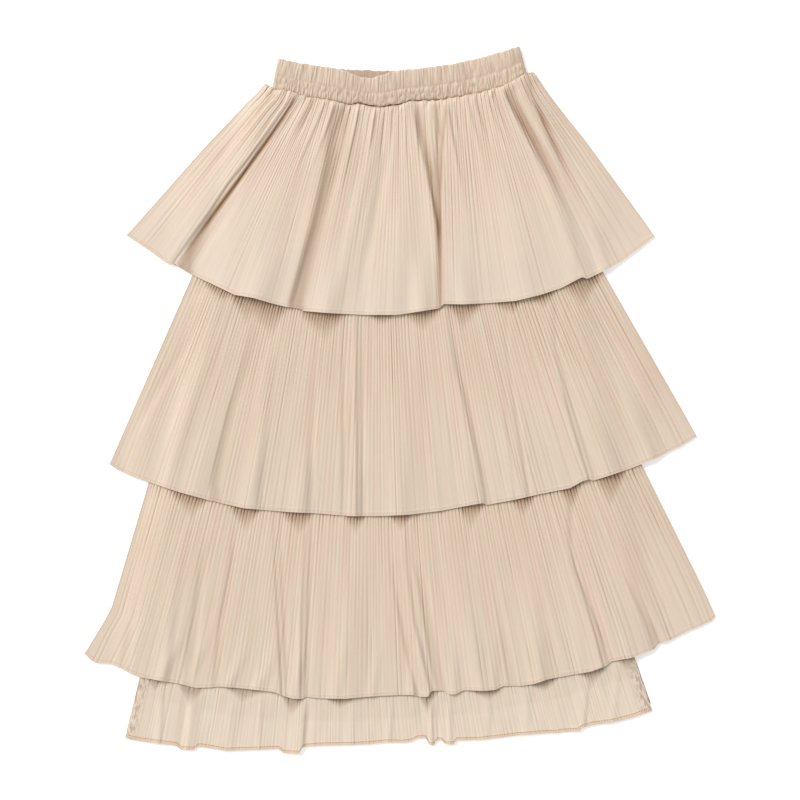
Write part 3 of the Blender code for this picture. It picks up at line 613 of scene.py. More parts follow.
def cloth_material(cloth):
    """Woven polyester: its tone drifts from pleat to pleat, with shade painted warm and deep into its
    creases and light painted pale near its hem.
    """
    material = bpy.data.materials.new(cloth.name)
    material.use_nodes = True
    tree = material.node_tree
    tree.nodes.clear()
    output = add(tree, "ShaderNodeOutputMaterial")
    uv = add(tree, "ShaderNodeUVMap", {"uv_map": "cloth"}).outputs["UV"]
    place = add(tree, "ShaderNodeSeparateXYZ", None, {"Vector": uv})

    # Streaks of tone that follow the pleats, 4 mm wide and 140 mm long.
    tone_place = add(tree, "ShaderNodeMapping", None, {"Vector": uv, "Scale": (260.0, 7.0, 1.0)})
    tone = add(tree, "ShaderNodeTexNoise", {"noise_dimensions": "2D"},
               {"Vector": tone_place.outputs["Vector"], "Scale": 1.0, "Detail": 2.0,
                "Roughness": 0.5})
    tone_ramp = add(tree, "ShaderNodeValToRGB", None, {"Fac": tone.outputs["Fac"]})
    tone_ramp.color_ramp.elements[0].position = 0.32
    tone_ramp.color_ramp.elements[0].color = srgb(cloth.dark)
    tone_ramp.color_ramp.elements[1].position = 0.68
    tone_ramp.color_ramp.elements[1].color = srgb(cloth.light)

    # Bands that are a little rosier, 13 mm wide.
    warmth_place = add(tree, "ShaderNodeMapping", None,
                       {"Vector": uv, "Scale": (75.0, 5.0, 1.0), "Location": (3.0, 7.0, 0.0)})
    warmth = add(tree, "ShaderNodeTexNoise", {"noise_dimensions": "2D"},
                 {"Vector": warmth_place.outputs["Vector"], "Scale": 1.0, "Detail": 1.0})
    warmth_part = add(tree, "ShaderNodeMapRange", None,
                      {"Value": warmth.outputs["Fac"], "From Min": 0.45, "From Max": 0.70,
                       "To Min": 0.0, "To Max": 0.40})
    colour = add(tree, "ShaderNodeMix", {"data_type": "RGBA"},
                 {0: warmth_part.outputs["Result"], 6: tone_ramp.outputs["Color"],
                  7: srgb(cloth.rosy)})

    # Painted light: the last 140 mm above the hem, where the pleats are pressed out and the lifted
    # cloth catches more light, are painted paler.
    hem_light_part = add(tree, "ShaderNodeMapRange", None,
                   {"Value": place.outputs["Y"], "From Min": 0.0, "From Max": 140.0 * MM,
                    "To Min": 0.42, "To Max": 0.0})
    painted_hem_light = add(tree, "ShaderNodeMix", {"data_type": "RGBA"},
                {0: hem_light_part.outputs["Result"], 6: colour.outputs[2], 7: srgb(cloth.pale)})

    # Cloth that is turned double at the hem lets less light through. The side seams' allowances show
    # in uneven, puckered patches 2 mm wide and 9 mm long, painted towards the colour of the creases:
    # partly the allowance seen through the cloth, partly painted shade in the puckers.
    at_hem = add(tree, "ShaderNodeMapRange", None,
                 {"Value": place.outputs["Y"], "From Min": (cloth.turn - 0.3) * MM,
                  "From Max": (cloth.turn + 0.3) * MM, "To Min": 0.9, "To Max": 0.0})
    from_middle = add(tree, "ShaderNodeMath", {"operation": "SUBTRACT"},
                      {0: place.outputs["X"], 1: cloth.width / 2.0 * MM})
    aside = add(tree, "ShaderNodeMath", {"operation": "ABSOLUTE"}, {0: from_middle.outputs[0]})
    near_seam = add(tree, "ShaderNodeMapRange", None,
                    {"Value": aside.outputs[0], "From Min": (cloth.width / 2.0 - 16.0) * MM,
                     "From Max": (cloth.width / 2.0 - 7.0) * MM, "To Min": 0.0,
                     "To Max": cloth.seams})
    pucker_place = add(tree, "ShaderNodeMapping", None,
                       {"Vector": uv, "Scale": (420.0, 110.0, 1.0)})
    pucker = add(tree, "ShaderNodeTexNoise", {"noise_dimensions": "2D"},
                 {"Vector": pucker_place.outputs["Vector"], "Scale": 1.0, "Detail": 2.0})
    puckered = add(tree, "ShaderNodeMapRange", None,
                   {"Value": pucker.outputs["Fac"], "From Min": 0.42, "From Max": 0.62,
                    "To Min": 0.05, "To Max": 1.0})
    at_side = add(tree, "ShaderNodeMath", {"operation": "MULTIPLY"},
                  {0: near_seam.outputs["Result"], 1: puckered.outputs["Result"]})
    sewn = add(tree, "ShaderNodeMix", {"data_type": "RGBA"},
               {0: at_hem.outputs["Result"], 6: painted_hem_light.outputs[2], 7: srgb(cloth.doubled)})

    # Painted shade: where the crease attribute or a side seam patch says so, the colour is mixed
    # towards the warm, deep one, as shade painted into creases, troughs, hollows and puckers.
    crease = add(tree, "ShaderNodeAttribute", {"attribute_name": "crease"}).outputs["Fac"]
    painted_shade_share = add(tree, "ShaderNodeMath", {"operation": "MAXIMUM"},
                  {0: crease, 1: at_side.outputs[0]})
    shade = add(tree, "ShaderNodeMix", {"data_type": "RGBA"},
                {0: painted_shade_share.outputs[0], 6: sewn.outputs[2], 7: srgb(cloth.deep)})

    # The grain of the weave. Its threads are 0.25 mm apart, too fine to show, so the grain is
    # drawn as coarse as 0.4 by 1.1 mm. It also makes the shine uneven.
    grain_place = add(tree, "ShaderNodeMapping", None,
                      {"Vector": uv, "Scale": (2600.0, 900.0, 1.0)})
    grain = add(tree, "ShaderNodeTexNoise", {"noise_dimensions": "2D"},
                {"Vector": grain_place.outputs["Vector"], "Scale": 1.0, "Detail": 1.0})
    bump = add(tree, "ShaderNodeBump", None,
               {"Height": grain.outputs["Fac"], "Strength": 0.25, "Distance": 0.04 * MM})
    unevenness = add(tree, "ShaderNodeMath", {"operation": "ADD"},
                     {0: grain.outputs["Fac"], 1: warmth.outputs["Fac"]})
    roughness = add(tree, "ShaderNodeMapRange", None,
                    {"Value": unevenness.outputs[0], "From Min": 0.7, "From Max": 1.3,
                     "To Min": 0.50, "To Max": 0.66})

    shader = add(tree, "ShaderNodeBsdfPrincipled", None,
                 {"Base Color": shade.outputs[2], "Normal": bump.outputs["Normal"],
                  "Roughness": roughness.outputs["Result"], "Specular IOR Level": 0.35,
                  "Sheen Weight": 0.20, "Sheen Roughness": 0.40, "Subsurface Weight": 0.14,
                  "Subsurface Radius": (1.0, 0.65, 0.45), "Subsurface Scale": 0.6 * MM})
    tree.links.new(shader.outputs["BSDF"], output.inputs["Surface"])
    return material


def thread_material(name, colour):
    """Spun thread: darker than the cloth and dull, with a fine twist, 0.8 mm long."""
    material = bpy.data.materials.new(name)
    material.use_nodes = True
    tree = material.node_tree
    tree.nodes.clear()
    output = add(tree, "ShaderNodeOutputMaterial")
    where = add(tree, "ShaderNodeTexCoord").outputs["Object"]
    twist = add(tree, "ShaderNodeTexNoise", None, {"Vector": where, "Scale": 1200.0, "Detail": 1.0})
    bump = add(tree, "ShaderNodeBump", None,
               {"Height": twist.outputs["Fac"], "Strength": 0.4, "Distance": 0.05 * MM})
    shader = add(tree, "ShaderNodeBsdfPrincipled", None,
                 {"Base Color": srgb(colour), "Normal": bump.outputs["Normal"],
                  "Roughness": 0.7, "Sheen Weight": 0.2})
    tree.links.new(shader.outputs["BSDF"], output.inputs["Surface"])
    return material


def cloth_sheet(name, rows, ups, acrosses, painted_shade_amounts, material, sharp=50.0):
    """A sheet of cloth: rows of points, its cloth coordinates, how much shade is painted on it, a
    material.
    """
    rows = np.asarray(rows)
    row_count, column_count = rows.shape[:2]
    bpy.ops.object.select_all(action="DESELECT")
    bpy.ops.mesh.primitive_grid_add(
        x_subdivisions=column_count - 1, y_subdivisions=row_count - 1, size=2.0)
    sheet = bpy.context.object
    sheet.name = name
    mesh = sheet.data
    mesh.name = name
    flat = np.empty(len(mesh.vertices) * 3)
    mesh.vertices.foreach_get("co", flat)
    flat = flat.reshape(-1, 3)
    column = np.rint((flat[:, 0] + 1.0) / 2.0 * (column_count - 1)).astype(int)
    row = np.rint((1.0 - flat[:, 1]) / 2.0 * (row_count - 1)).astype(int)
    mesh.vertices.foreach_set("co", (rows[row, column] * MM).ravel())

    across = np.asarray(acrosses)[row, column] * MM
    up = np.asarray(ups)[row, column] * MM
    corners = np.empty(len(mesh.loops), dtype=np.int32)
    mesh.loops.foreach_get("vertex_index", corners)
    layer = mesh.uv_layers[0]
    layer.name = "cloth"
    layer.data.foreach_set("uv", np.stack([across[corners], up[corners]], axis=1).ravel())
    # The crease attribute holds how much shade is painted at each point.
    depth = mesh.attributes.new("crease", "FLOAT", "POINT")
    depth.data.foreach_set("value", np.clip(np.asarray(painted_shade_amounts)[row, column], 0.0, 1.0))
    mesh.update()

    thicken = sheet.modifiers.new("wall", "SOLIDIFY")
    thicken.thickness = CLOTH * MM
    thicken.offset = 0.0
    bpy.ops.object.modifier_apply(modifier=thicken.name)
    bpy.ops.object.shade_smooth_by_angle(angle=math.radians(sharp))
    mesh.materials.append(material)
    sheet.select_set(False)
    return sheet


# One stitch: how far along it its rings stand, as shares, and how thick it is there.
STITCH_RINGS = ((0.0, 0.3), (0.2, 1.0), (0.8, 1.0), (1.0, 0.3))
STITCH_SIDES = 5
STITCH_PITCH = 3.2       # from the start of one stitch to that of the next
STITCH_LENGTH = 2.5


def stitches(name, path, radius, material):
    """A row of stitches that lies on a row of cloth points, its ends drawn into the cloth."""
    rng = np.random.default_rng(51)
    path = np.asarray(path)
    steps = np.linalg.norm(np.diff(path, axis=0), axis=1)
    along = np.concatenate([[0.0], np.cumsum(steps)])
    count = int((along[-1] - STITCH_PITCH) / STITCH_PITCH)
    starts = STITCH_PITCH * (np.arange(count) + 0.5) + rng.uniform(-0.2, 0.2, count)
    turns = np.linspace(0.0, 2.0 * math.pi, STITCH_SIDES, endpoint=False)
    corners, faces = [], []
    for start in starts:
        first = len(corners)
        for share, thick in STITCH_RINGS:
            at = start + share * STITCH_LENGTH
            centre = np.array([np.interp(at, along, path[:, k]) for k in range(3)])
            centre[2] += CLOTH / 2.0 + radius * (0.6 * thick - 0.2)
            ahead = np.array([np.interp(at + 0.5, along, path[:, k]) for k in range(3)]) - (
                np.array([np.interp(at - 0.5, along, path[:, k]) for k in range(3)]))
            ahead /= np.linalg.norm(ahead)
            side = np.cross([0.0, 0.0, 1.0], ahead)
            side /= np.linalg.norm(side)
            up = np.cross(ahead, side)
            for turn in turns:
                corners.append(centre + radius * thick * (
                    math.cos(turn) * side + 0.7 * math.sin(turn) * up))
        for ring in range(len(STITCH_RINGS) - 1):
            for k in range(STITCH_SIDES):
                a = first + ring * STITCH_SIDES + k
                b = first + ring * STITCH_SIDES + (k + 1) % STITCH_SIDES
                faces.append((a, a + STITCH_SIDES, b + STITCH_SIDES, b))
        last = first + (len(STITCH_RINGS) - 1) * STITCH_SIDES
        faces.append(tuple(range(first, first + STITCH_SIDES)))
        faces.append(tuple(range(last + STITCH_SIDES - 1, last - 1, -1)))
    mesh = bpy.data.meshes.new(name)
    mesh.from_pydata([tuple(corner * MM) for corner in corners], [], faces)
    mesh.shade_smooth()
    mesh.materials.append(material)
    row = bpy.data.objects.new(name, mesh)
    bpy.context.scene.collection.objects.link(row)
    return row


def uneven_pleats(rng, count, widths):
    """Places of the columns across a row of uneven pleats."""
    width = np.exp(rng.normal(0.0, widths, count))
    edges = np.concatenate([[0.0], np.cumsum(width)]) / width.sum()
    inner = np.asarray(PLEAT_PLACES)
    places = (edges[:-1, None] + (edges[1:] - edges[:-1])[:, None] * inner).ravel()
    return np.append(places, 1.0)


def pleat_wave(rng, count, pressed_out, gathered_to, shares, length):
    """Heights of all columns in all rows. Creases come, fade and are pressed out downwards."""
    shares = np.asarray(shares)
    per_pleat = len(PLEAT_RISES)
    ridge = np.tile(PLEAT_RISES, count) * np.repeat(
        np.exp(rng.normal(0.0, PLEAT_HEIGHTS, count)), per_pleat)
    ridge = np.append(ridge, PLEAT_RISES[0])
    wave = np.repeat(ridge[None, :], len(shares), axis=0)
    pleat_grid, share_grid = np.meshgrid(np.arange(count + 1, dtype=float), shares)
    down = share_grid * length
    drift = 0.55 * wander(rng, pleat_grid, down, 1.6, 40.0)
    drift = drift + 0.30 * wander(rng, pleat_grid, down, 7.0, 90.0)
    depth = np.exp(rng.normal(-0.1, 0.30, count + 1))[None, :] * np.maximum(1.0 + drift, 0.15)
    goes = rng.random(count + 1) < pressed_out
    begins = rng.uniform(0.15, 0.60, count + 1)
    gone = smooth(0.0, 1.0, (share_grid - begins[None, :]) / 0.35) * goes[None, :]
    if gathered_to > 0.0:
        second = (np.arange(count + 1) % 2 == 1)[None, :]
        hidden = (1.0 - smooth(0.3 * gathered_to, gathered_to, share_grid)) * second
        gone = np.maximum(gone, 0.9 * hidden)
    kept = 1.0 + 0.30 * smooth(0.4, 1.0, share_grid) * ~goes[None, :]
    wave[:, ::per_pleat] = -depth * kept * (1.0 - gone) + 0.35 * gone
    swell = wander(rng, pleat_grid, down, 1.3, 60.0)
    ridges = np.repeat(swell[:, :-1], per_pleat, axis=1)
    wave[:, :-1] += 0.22 * ridges * (wave[:, :-1] > 0.0)
    return wave


def hem_shares(length, count, turn):
    """Shares of the rows of a panel, with close ones at the edge of its turned hem."""
    near = [turn + 1.2, turn + 0.2, turn - 0.8, turn / 2.0, 0.5, 0.0]
    seam = (0.0, 0.006, 0.013, 0.022)
    body = np.linspace(0.034, 1.0 - (turn + 3.0) / length, count)
    return np.concatenate([seam, body, 1.0 - np.asarray(near) / length])


# A row is one flute of a hem: its place across, its reach to each side, and how far it lifts
# the lower edge off what is below.
Flute = namedtuple("Flute", "place reach rise")
TIER_1_FLUTES = (
    Flute(0.249, 28.0, 4.4), Flute(0.378, 22.0, 3.7), Flute(0.470, 15.0, 1.6),
    Flute(0.559, 20.0, 4.0), Flute(0.643, 18.0, 2.7), Flute(0.760, 18.0, 1.4),
    Flute(0.867, 19.0, 2.9),
)
TIER_2_FLUTES = (
    Flute(0.143, 18.0, 1.8), Flute(0.233, 16.0, 2.1), Flute(0.323, 17.0, 2.4),
    Flute(0.420, 14.0, 1.8), Flute(0.495, 16.0, 2.1), Flute(0.560, 9.0, 0.9),
    Flute(0.614, 15.0, 2.1), Flute(0.704, 15.0, 1.8), Flute(0.775, 10.0, 0.9),
    Flute(0.854, 20.0, 2.3), Flute(0.925, 9.0, 0.9),
)
TIER_3_FLUTES = (
    Flute(0.120, 11.0, 1.4), Flute(0.162, 10.0, 1.8), Flute(0.228, 12.0, 1.8),
    Flute(0.275, 14.0, 2.2), Flute(0.325, 13.0, 2.2), Flute(0.395, 12.0, 1.5),
    Flute(0.455, 10.0, 1.5), Flute(0.520, 12.0, 2.2), Flute(0.585, 12.0, 1.8),
    Flute(0.650, 10.0, 1.5), Flute(0.720, 14.0, 1.8), Flute(0.790, 11.0, 1.8),
    Flute(0.865, 12.0, 1.5),
)
FLUTES_BEGIN = 0.62

# A row is one small gather under a seam: its place across, its reach to each side, its
# height, and the share of the way down at which it has faded out.
Gather = namedtuple("Gather", "place reach rise fades")
TIER_1_GATHERS = (
    Gather(0.060, 5.0, 1.4, 0.55), Gather(0.095, 4.0, -1.3, 0.40), Gather(0.144, 4.5, -1.6, 0.30),
    Gather(0.172, 4.0, 1.3, 0.30), Gather(0.192, 3.5, -1.4, 0.28), Gather(0.225, 4.0, 1.4, 0.45),
    Gather(0.262, 4.0, 1.2, 0.40), Gather(0.299, 4.0, -1.4, 0.25), Gather(0.325, 3.5, -1.4, 0.22),
    Gather(0.352, 4.5, 1.6, 0.50), Gather(0.410, 4.0, 1.3, 0.30), Gather(0.450, 3.5, -1.4, 0.30),
    Gather(0.480, 4.0, -1.3, 0.25), Gather(0.520, 4.5, 1.3, 0.35), Gather(0.568, 3.5, -1.6, 0.35),
    Gather(0.598, 3.0, -1.4, 0.30), Gather(0.615, 3.5, 1.4, 0.35), Gather(0.635, 3.0, -1.3, 0.30),
    Gather(0.668, 4.0, 1.8, 0.50), Gather(0.700, 4.0, -1.0, 0.25), Gather(0.740, 4.5, 1.1, 0.35),
    Gather(0.778, 3.5, -1.3, 0.30), Gather(0.810, 4.0, 1.1, 0.40), Gather(0.842, 4.0, -1.6, 0.35),
    Gather(0.905, 4.0, 1.4, 0.50), Gather(0.945, 3.5, -1.4, 0.45),
)

# A row is one flounce: its tables, with no guides where its pleats fan out evenly, its pleating,
# the length of its middle, its seed, how far its cloth drifts up and down in soft waves halfway
# down and at the hem, and the radius of its hem's thread.
Flounce = namedtuple(
    "Flounce",
    "name guides lines deep hem flutes gathers pleating length seed wave_middle wave_hem thread")
FLOUNCES = (
    Flounce("tier_1", TIER_1_GUIDES, TIER_1_LINES, TIER_1_PAINTED_SHADE, TIER_1_HEM, TIER_1_FLUTES,
            TIER_1_GATHERS, TIER_1_PLEATING, 258.0, 11, 0.35, 0.45, 0.20),
    Flounce("tier_2", (), TIER_2_LINES, TIER_2_PAINTED_SHADE, TIER_2_HEM, TIER_2_FLUTES,
            (), TIER_2_PLEATING, 290.0, 12, 0.30, 0.35, 0.28),
    Flounce("tier_3", (), TIER_3_LINES, (), TIER_3_HEM, TIER_3_FLUTES,
            (), TIER_3_PLEATING, 274.0, 13, 0.30, 0.45, 0.28),
)
FRONT_ROWS = 56
SEAM_FADES = 0.14      # share of the way down where the waist seam's curve has faded out
STRAYS_FADE = 0.16     # and where its strays have
HEM_TURN = 4.5         # how wide the turned hem is
HEM_THICKER = 0.30     # and how much higher the cloth lies there
TURN_ROW = -4          # the row of a front that lies just inside its turned hem
# How much shade is painted into the colour: in a pleat's crease, in a fold's trough, on a fold's steep
# side and at a side edge, where the cloth bends round to the back.
CREASE_SHADE_PAINT = 0.62     # how deep the tone gets for each millimetre that a pleat's crease is deep
TROUGH_SHADE_PAINT = 0.011    # for the square of a fold's depth
STEEP_SHADE_PAINT = 0.30      # for the slope of its side
EDGE_SHADE_PAINT = 0.22       # and at a side edge, where the cloth bends round to the back


def hem_flutes(flutes, share, place, width):
    """How far the flutes lift a row, most at the hem."""
    lifted = np.zeros_like(place)
    for flute in flutes:
        across = np.abs(place - flute.place) * width
        lifted += flute.rise * (1.0 - smooth(0.0, flute.reach, across))
    return lifted * smooth(FLUTES_BEGIN, 1.0, share)


def seam_gathers(gathers, share, place, width):
    """Height of the small gathers under a seam, which fade out down the cloth."""
    height = np.zeros_like(place)
    for gather in gathers:
        across = np.abs(place - gather.place) * width
        left = 1.0 - smooth(0.35 * gather.fades, gather.fades, share)
        height += gather.rise * left * (1.0 - smooth(0.0, gather.reach, across))
    return height * smooth(0.0, 0.03, share)


# The highest flounce puffs out under the waist seam. A row is how far along the seam, in X,
# and how far the puff covers it there, from not at all, 0, to wholly, 1.
SEAM_PUFFS = (
    (-170, 0.0), (-160, 0.6), (-150, 1.0), (-130, 0.9), (-105, 1.0), (-85, 0.8), (-72, 0.40),
    (-55, 0.15), (-45, 0.05), (-20, 0.0), (5, 0.20), (15, 0.40), (30, 0.35), (50, 0.30),
    (60, 0.50), (75, 0.45), (95, 0.65), (105, 0.85), (120, 0.95), (135, 1.0), (150, 1.1),
    (160, 0.6), (170, 0.0),
)
# A row is how far below the seam it lies, how far the cloth there moves in Y and Z where it
# isn't puffed, and where it is.
Puff = namedtuple("Puff", "below plain_y plain_z full_y full_z")
PUFFS = (
    Puff(0.0, -0.6, 0.0, -0.2, 0.0), Puff(1.55, 0.35, 0.3, 3.0, 1.6),
    Puff(3.35, -0.1, 0.6, 3.0, 2.0), Puff(5.7, -0.2, 0.5, 1.8, 1.6),
    Puff(12.0, 0.0, 0.1, 0.2, 0.4), Puff(20.0, 0.0, 0.0, 0.0, 0.0),
)
PUFFED_ROWS = 7
TUCK_DEPTH = 2.2        # how far the edge goes in under the waistband
TUCK_HEIGHT = 4.4       # and how high it lies there


def puff_out(down, x, y, z):
    """Let a row of the cloth, some way down from the waist seam, puff up and over it, unevenly."""
    rng = np.random.default_rng(62)
    at_x, amount = np.asarray(SEAM_PUFFS).T
    uneven = wander(rng, x, np.zeros_like(x), 5.0, 50.0)
    broken = wander(rng, x, np.zeros_like(x), 2.6, 50.0)
    puffed = np.interp(x, at_x, amount) * (1.0 + 0.30 * uneven) + 0.12 * uneven + 0.12 * broken
    below, plain_y, plain_z, full_y, full_z = np.asarray(PUFFS).T
    moved_y = (1.0 - puffed) * np.interp(down, below, plain_y) + (
        puffed * np.interp(down, below, full_y))
    moved_z = (1.0 - puffed) * np.interp(down, below, plain_z) + (
        puffed * np.interp(down, below, full_z))
    rough = (0.35 * uneven + 0.55 * broken) * (
        np.interp(down, (0.0, 1.55, 5.7, 20.0), (0.0, 1.0, 0.8, 0.0)))
    return y + moved_y, z + moved_z + rough


def flounce_front(flounce, material):
    """The front of a flounce: large folds, soft waves, uneven pleats and a turned hem."""
    rng = np.random.default_rng(flounce.seed)
    sections = SECTIONS[flounce.name]
    pleating = flounce.pleating
    shares = hem_shares(flounce.length, FRONT_ROWS, HEM_TURN)
    places = uneven_pleats(rng, pleating.count, PLEAT_WIDTHS)
    wave = pleat_wave(rng, pleating.count, pleating.pressed_out, pleating.gathered_to, shares,
                      flounce.length)
    guides = flounce.guides or (
        Guide(0, sections[0].left_x, sections[-1].left_x),
        Guide(pleating.count, sections[0].right_x, sections[-1].right_x))
    hem_x = pleats_x(sections, guides, 1.0, places)
    place_grid, share_grid = np.meshgrid(places, shares)
    across_grid, down_grid = place_grid * WAVE_WIDTH, share_grid * flounce.length
    soft = wander(rng, across_grid, down_grid, 13.0, 110.0)
    slow = wander(rng, across_grid, down_grid, 55.0, 200.0)
    swell = np.interp(shares, (0.0, 0.12, 0.5, 1.0),
                      (0.0, 0.3, flounce.wave_middle, flounce.wave_hem))
    rows, ups, acrosses, painted_shade_amounts = [], [], [], []
    for k, share in enumerate(shares):
        x = pleats_x(sections, guides, share, places)
        y = line_y(section_at(sections, share), x)
        if flounce.name == "tier_1":
            to_seam = meet_waist(0.0, x, y) - line_y(sections[0], x)
            y = y + to_seam * (1.0 - smooth(0.0, SEAM_FADES, share))
            strays = seam_strays(x) + np.interp(x, *np.asarray(SHOULDERS).T)
            y = y + strays * (1.0 - smooth(0.0, STRAYS_FADE, share))
        row = section_at(sections, share)
        width = row.right_x - row.left_x
        from_side = np.minimum(x - row.left_x, row.right_x - x)
        at_side = smooth(0.0, SIDE_REACH, from_side)
        edge = smooth(0.0, PLEAT_SIDE_REACH, from_side)
        pitch = np.gradient(x) * len(PLEAT_RISES)
        half = np.interp(share, HEIGHT_SHARES, pleating.half) * smooth(0.3, 1.6, pitch)
        lift = np.interp(share, HEIGHT_SHARES, pleating.lift)
        along = (x - row.left_x) / width
        rise = fold_heights(flounce.lines, share, x, y, FOLDS_BEGIN[flounce.name])
        rise = rise + hem_flutes(flounce.flutes, share, along, width)
        rise = rise + seam_gathers(flounce.gathers, share, along, width)
        rise = rise + (0.5 * soft[k] + 0.8 * slow[k]) * swell[k]
        below = below_hem(flounce.name, x, y)
        hollow = hollow_depth(flounce.name, x, below)
        half = half * (1.0 + SHARPER_FLANK * smooth(0.55, 0.92, along))
        half = half + COMB_HALF * (1.0 - smooth(0.3 * COMB_REACH, COMB_REACH, below)) * (0.6 + hollow)
        above = (lift + rise - HOLLOW_DEPTH * hollow) * at_side
        softness = SOFT_FLOOR * at_side * smooth(0.0, FOLDS_BEGIN[flounce.name], share)
        z = front_floor(flounce.name, x, y) + half * edge
        z = z + (above + np.sqrt(above ** 2 + softness ** 2)) / 2.0
        y = y - hem_dips(sections, flounce.hem, share, hem_x)
        points = np.stack([x, y, z], axis=1)
        in_turn = (1.0 - share) * flounce.length < HEM_TURN
        pleat = half * wave[k] * edge
        offset = pleat + (HEM_THICKER if in_turn else 0.0)
        rows.append(points + square_up(points) * offset[:, None])
        acrosses.append(places * pleating.cloth)
        ups.append(np.full_like(places, (1.0 - share) * flounce.length))
        # Shade painted into the cloth: in the pleats' creases, in the folds' troughs and on their
        # steep sides, in the hollows under the hem above, at the side edges and along the painted
        # shade table.
        in_trough = np.clip(-rise, 0.0, 6.5)
        at_edge = 1.0 - smooth(0.0, 2.2, from_side)
        slope = np.gradient(rise) / np.maximum(np.gradient(x), 0.1)
        steep = np.clip(np.abs(slope) - 0.18, 0.0, 0.6)
        painted_shade_amounts.append(CREASE_SHADE_PAINT * np.maximum(-pleat, 0.0) + TROUGH_SHADE_PAINT * in_trough ** 2 +
                       STEEP_SHADE_PAINT * steep + HOLLOW_SHADE_PAINT * hollow + EDGE_SHADE_PAINT * at_edge +
                       fold_heights(flounce.deep, share, x, y, FOLDS_BEGIN[flounce.name]))
    if flounce.name == "tier_1":
        for k in range(PUFFED_ROWS):
            x, y, z = rows[k].T
            rows[k] = np.stack([x, *puff_out(shares[k] * flounce.length, x, y, z)], axis=1)
        rows[0][:, 2] = TUCK_HEIGHT + 0.3
        tucked = rows[0] + np.array([0.0, TUCK_DEPTH, -0.3])
        rows.insert(0, tucked)
        ups.insert(0, ups[0] + TUCK_DEPTH)
        acrosses.insert(0, acrosses[0])
        # Shade painted into the groove under the waist seam and the row below it, less where the cloth
        # puffs over the seam or stands beside the band.
        puffed = np.clip(np.interp(rows[0][:, 0], *np.asarray(SEAM_PUFFS).T), 0.0, 1.0)
        beside_band = smooth(153.0, 160.0, np.abs(rows[0][:, 0]))
        shown = 1.0 - 0.7 * np.maximum(puffed, beside_band)
        painted_shade_amounts[:1] = [shown, shown]
        painted_shade_amounts[2] = np.maximum(painted_shade_amounts[2], 0.25 * shown)
    sheet = cloth_sheet(flounce.name + "_front_cloth", rows, ups, acrosses, painted_shade_amounts, material)
    return sheet, rows


BACK_PLEATS = 120
BACK_PLEAT_HALF = 0.25
BACK_ROWS = 14
BACK_WIDTH = 700.0     # width of cloth that the tones of a back are spread over


def panel_back(name, length, count, hem_shy, material):
    """The back of a flounce or of the underskirt: low pleats that rest flat."""
    rng = np.random.default_rng(31)
    sections = SECTIONS[name]
    hem = sections[-1]
    shy = hem._replace(left_x=hem.left_x + BACK_HEM_SHY, left_y=hem.left_y + hem_shy,
                       right_x=hem.right_x - BACK_HEM_SHY, right_y=hem.right_y + hem_shy)
    places = uneven_pleats(rng, count, PLEAT_WIDTHS)
    shares = [np.full_like(places, share) for share in np.linspace(0.0, 1.0, BACK_ROWS)]
    if name in ABOVE:
        above = SECTIONS[ABOVE[name]]
        for distance in (STEP_CLEAR, STEP_CLEAR + STEP_LENGTH[name]):
            shares.append(share_past(sections, above, distance, places))
    shares.sort(key=lambda share: share[len(share) // 2])
    middles = [share[len(share) // 2] for share in shares]
    wave = pleat_wave(rng, count, 0.3, 0.0, middles, length)
    rows, ups, acrosses, painted_shade_amounts = [], [], [], []
    for k, share in enumerate(shares):
        x, y = plan(sections[:-1] + (shy,), share, places)
        if name in ("tier_1", "underskirt"):
            y = meet_waist(share, x, y)
        under = back_underside(name, *plan(sections, share, places))
        z = under + CLOTH / 2.0 + BACK_PLEAT_HALF * (1.6 + wave[k])
        rows.append(np.stack([x, y, np.maximum(z, CLOTH / 2.0)], axis=1))
        acrosses.append(places * BACK_WIDTH)
        ups.append((1.0 - share) * length)
        # Shade painted into the creases of the pleats.
        painted_shade_amounts.append(CREASE_SHADE_PAINT * BACK_PLEAT_HALF * np.maximum(-wave[k], 0.0))
    return cloth_sheet(name + "_back_cloth", rows, ups, acrosses, painted_shade_amounts, material)


UNDERSKIRT_LENGTH = 845.0
UNDERSKIRT_WIDTH = 690.0
UNDERSKIRT_PLEATS = 150
UNDERSKIRT_BACK_PLEATS = 100
UNDERSKIRT_PLEAT_WIDTHS = 0.28    # how uneven the front's are in width
UNDERSKIRT_PLEAT_HALF = 0.13
UNDERSKIRT_PLEAT_MORE = 0.20      # added where the pleats come out from under the flounce
UNDERSKIRT_TURN = 5.5
UNDERSKIRT_THREAD = 0.42          # radius of its hem's thread
STRIP = 30.0                      # how far below the flounce the folds have their full height


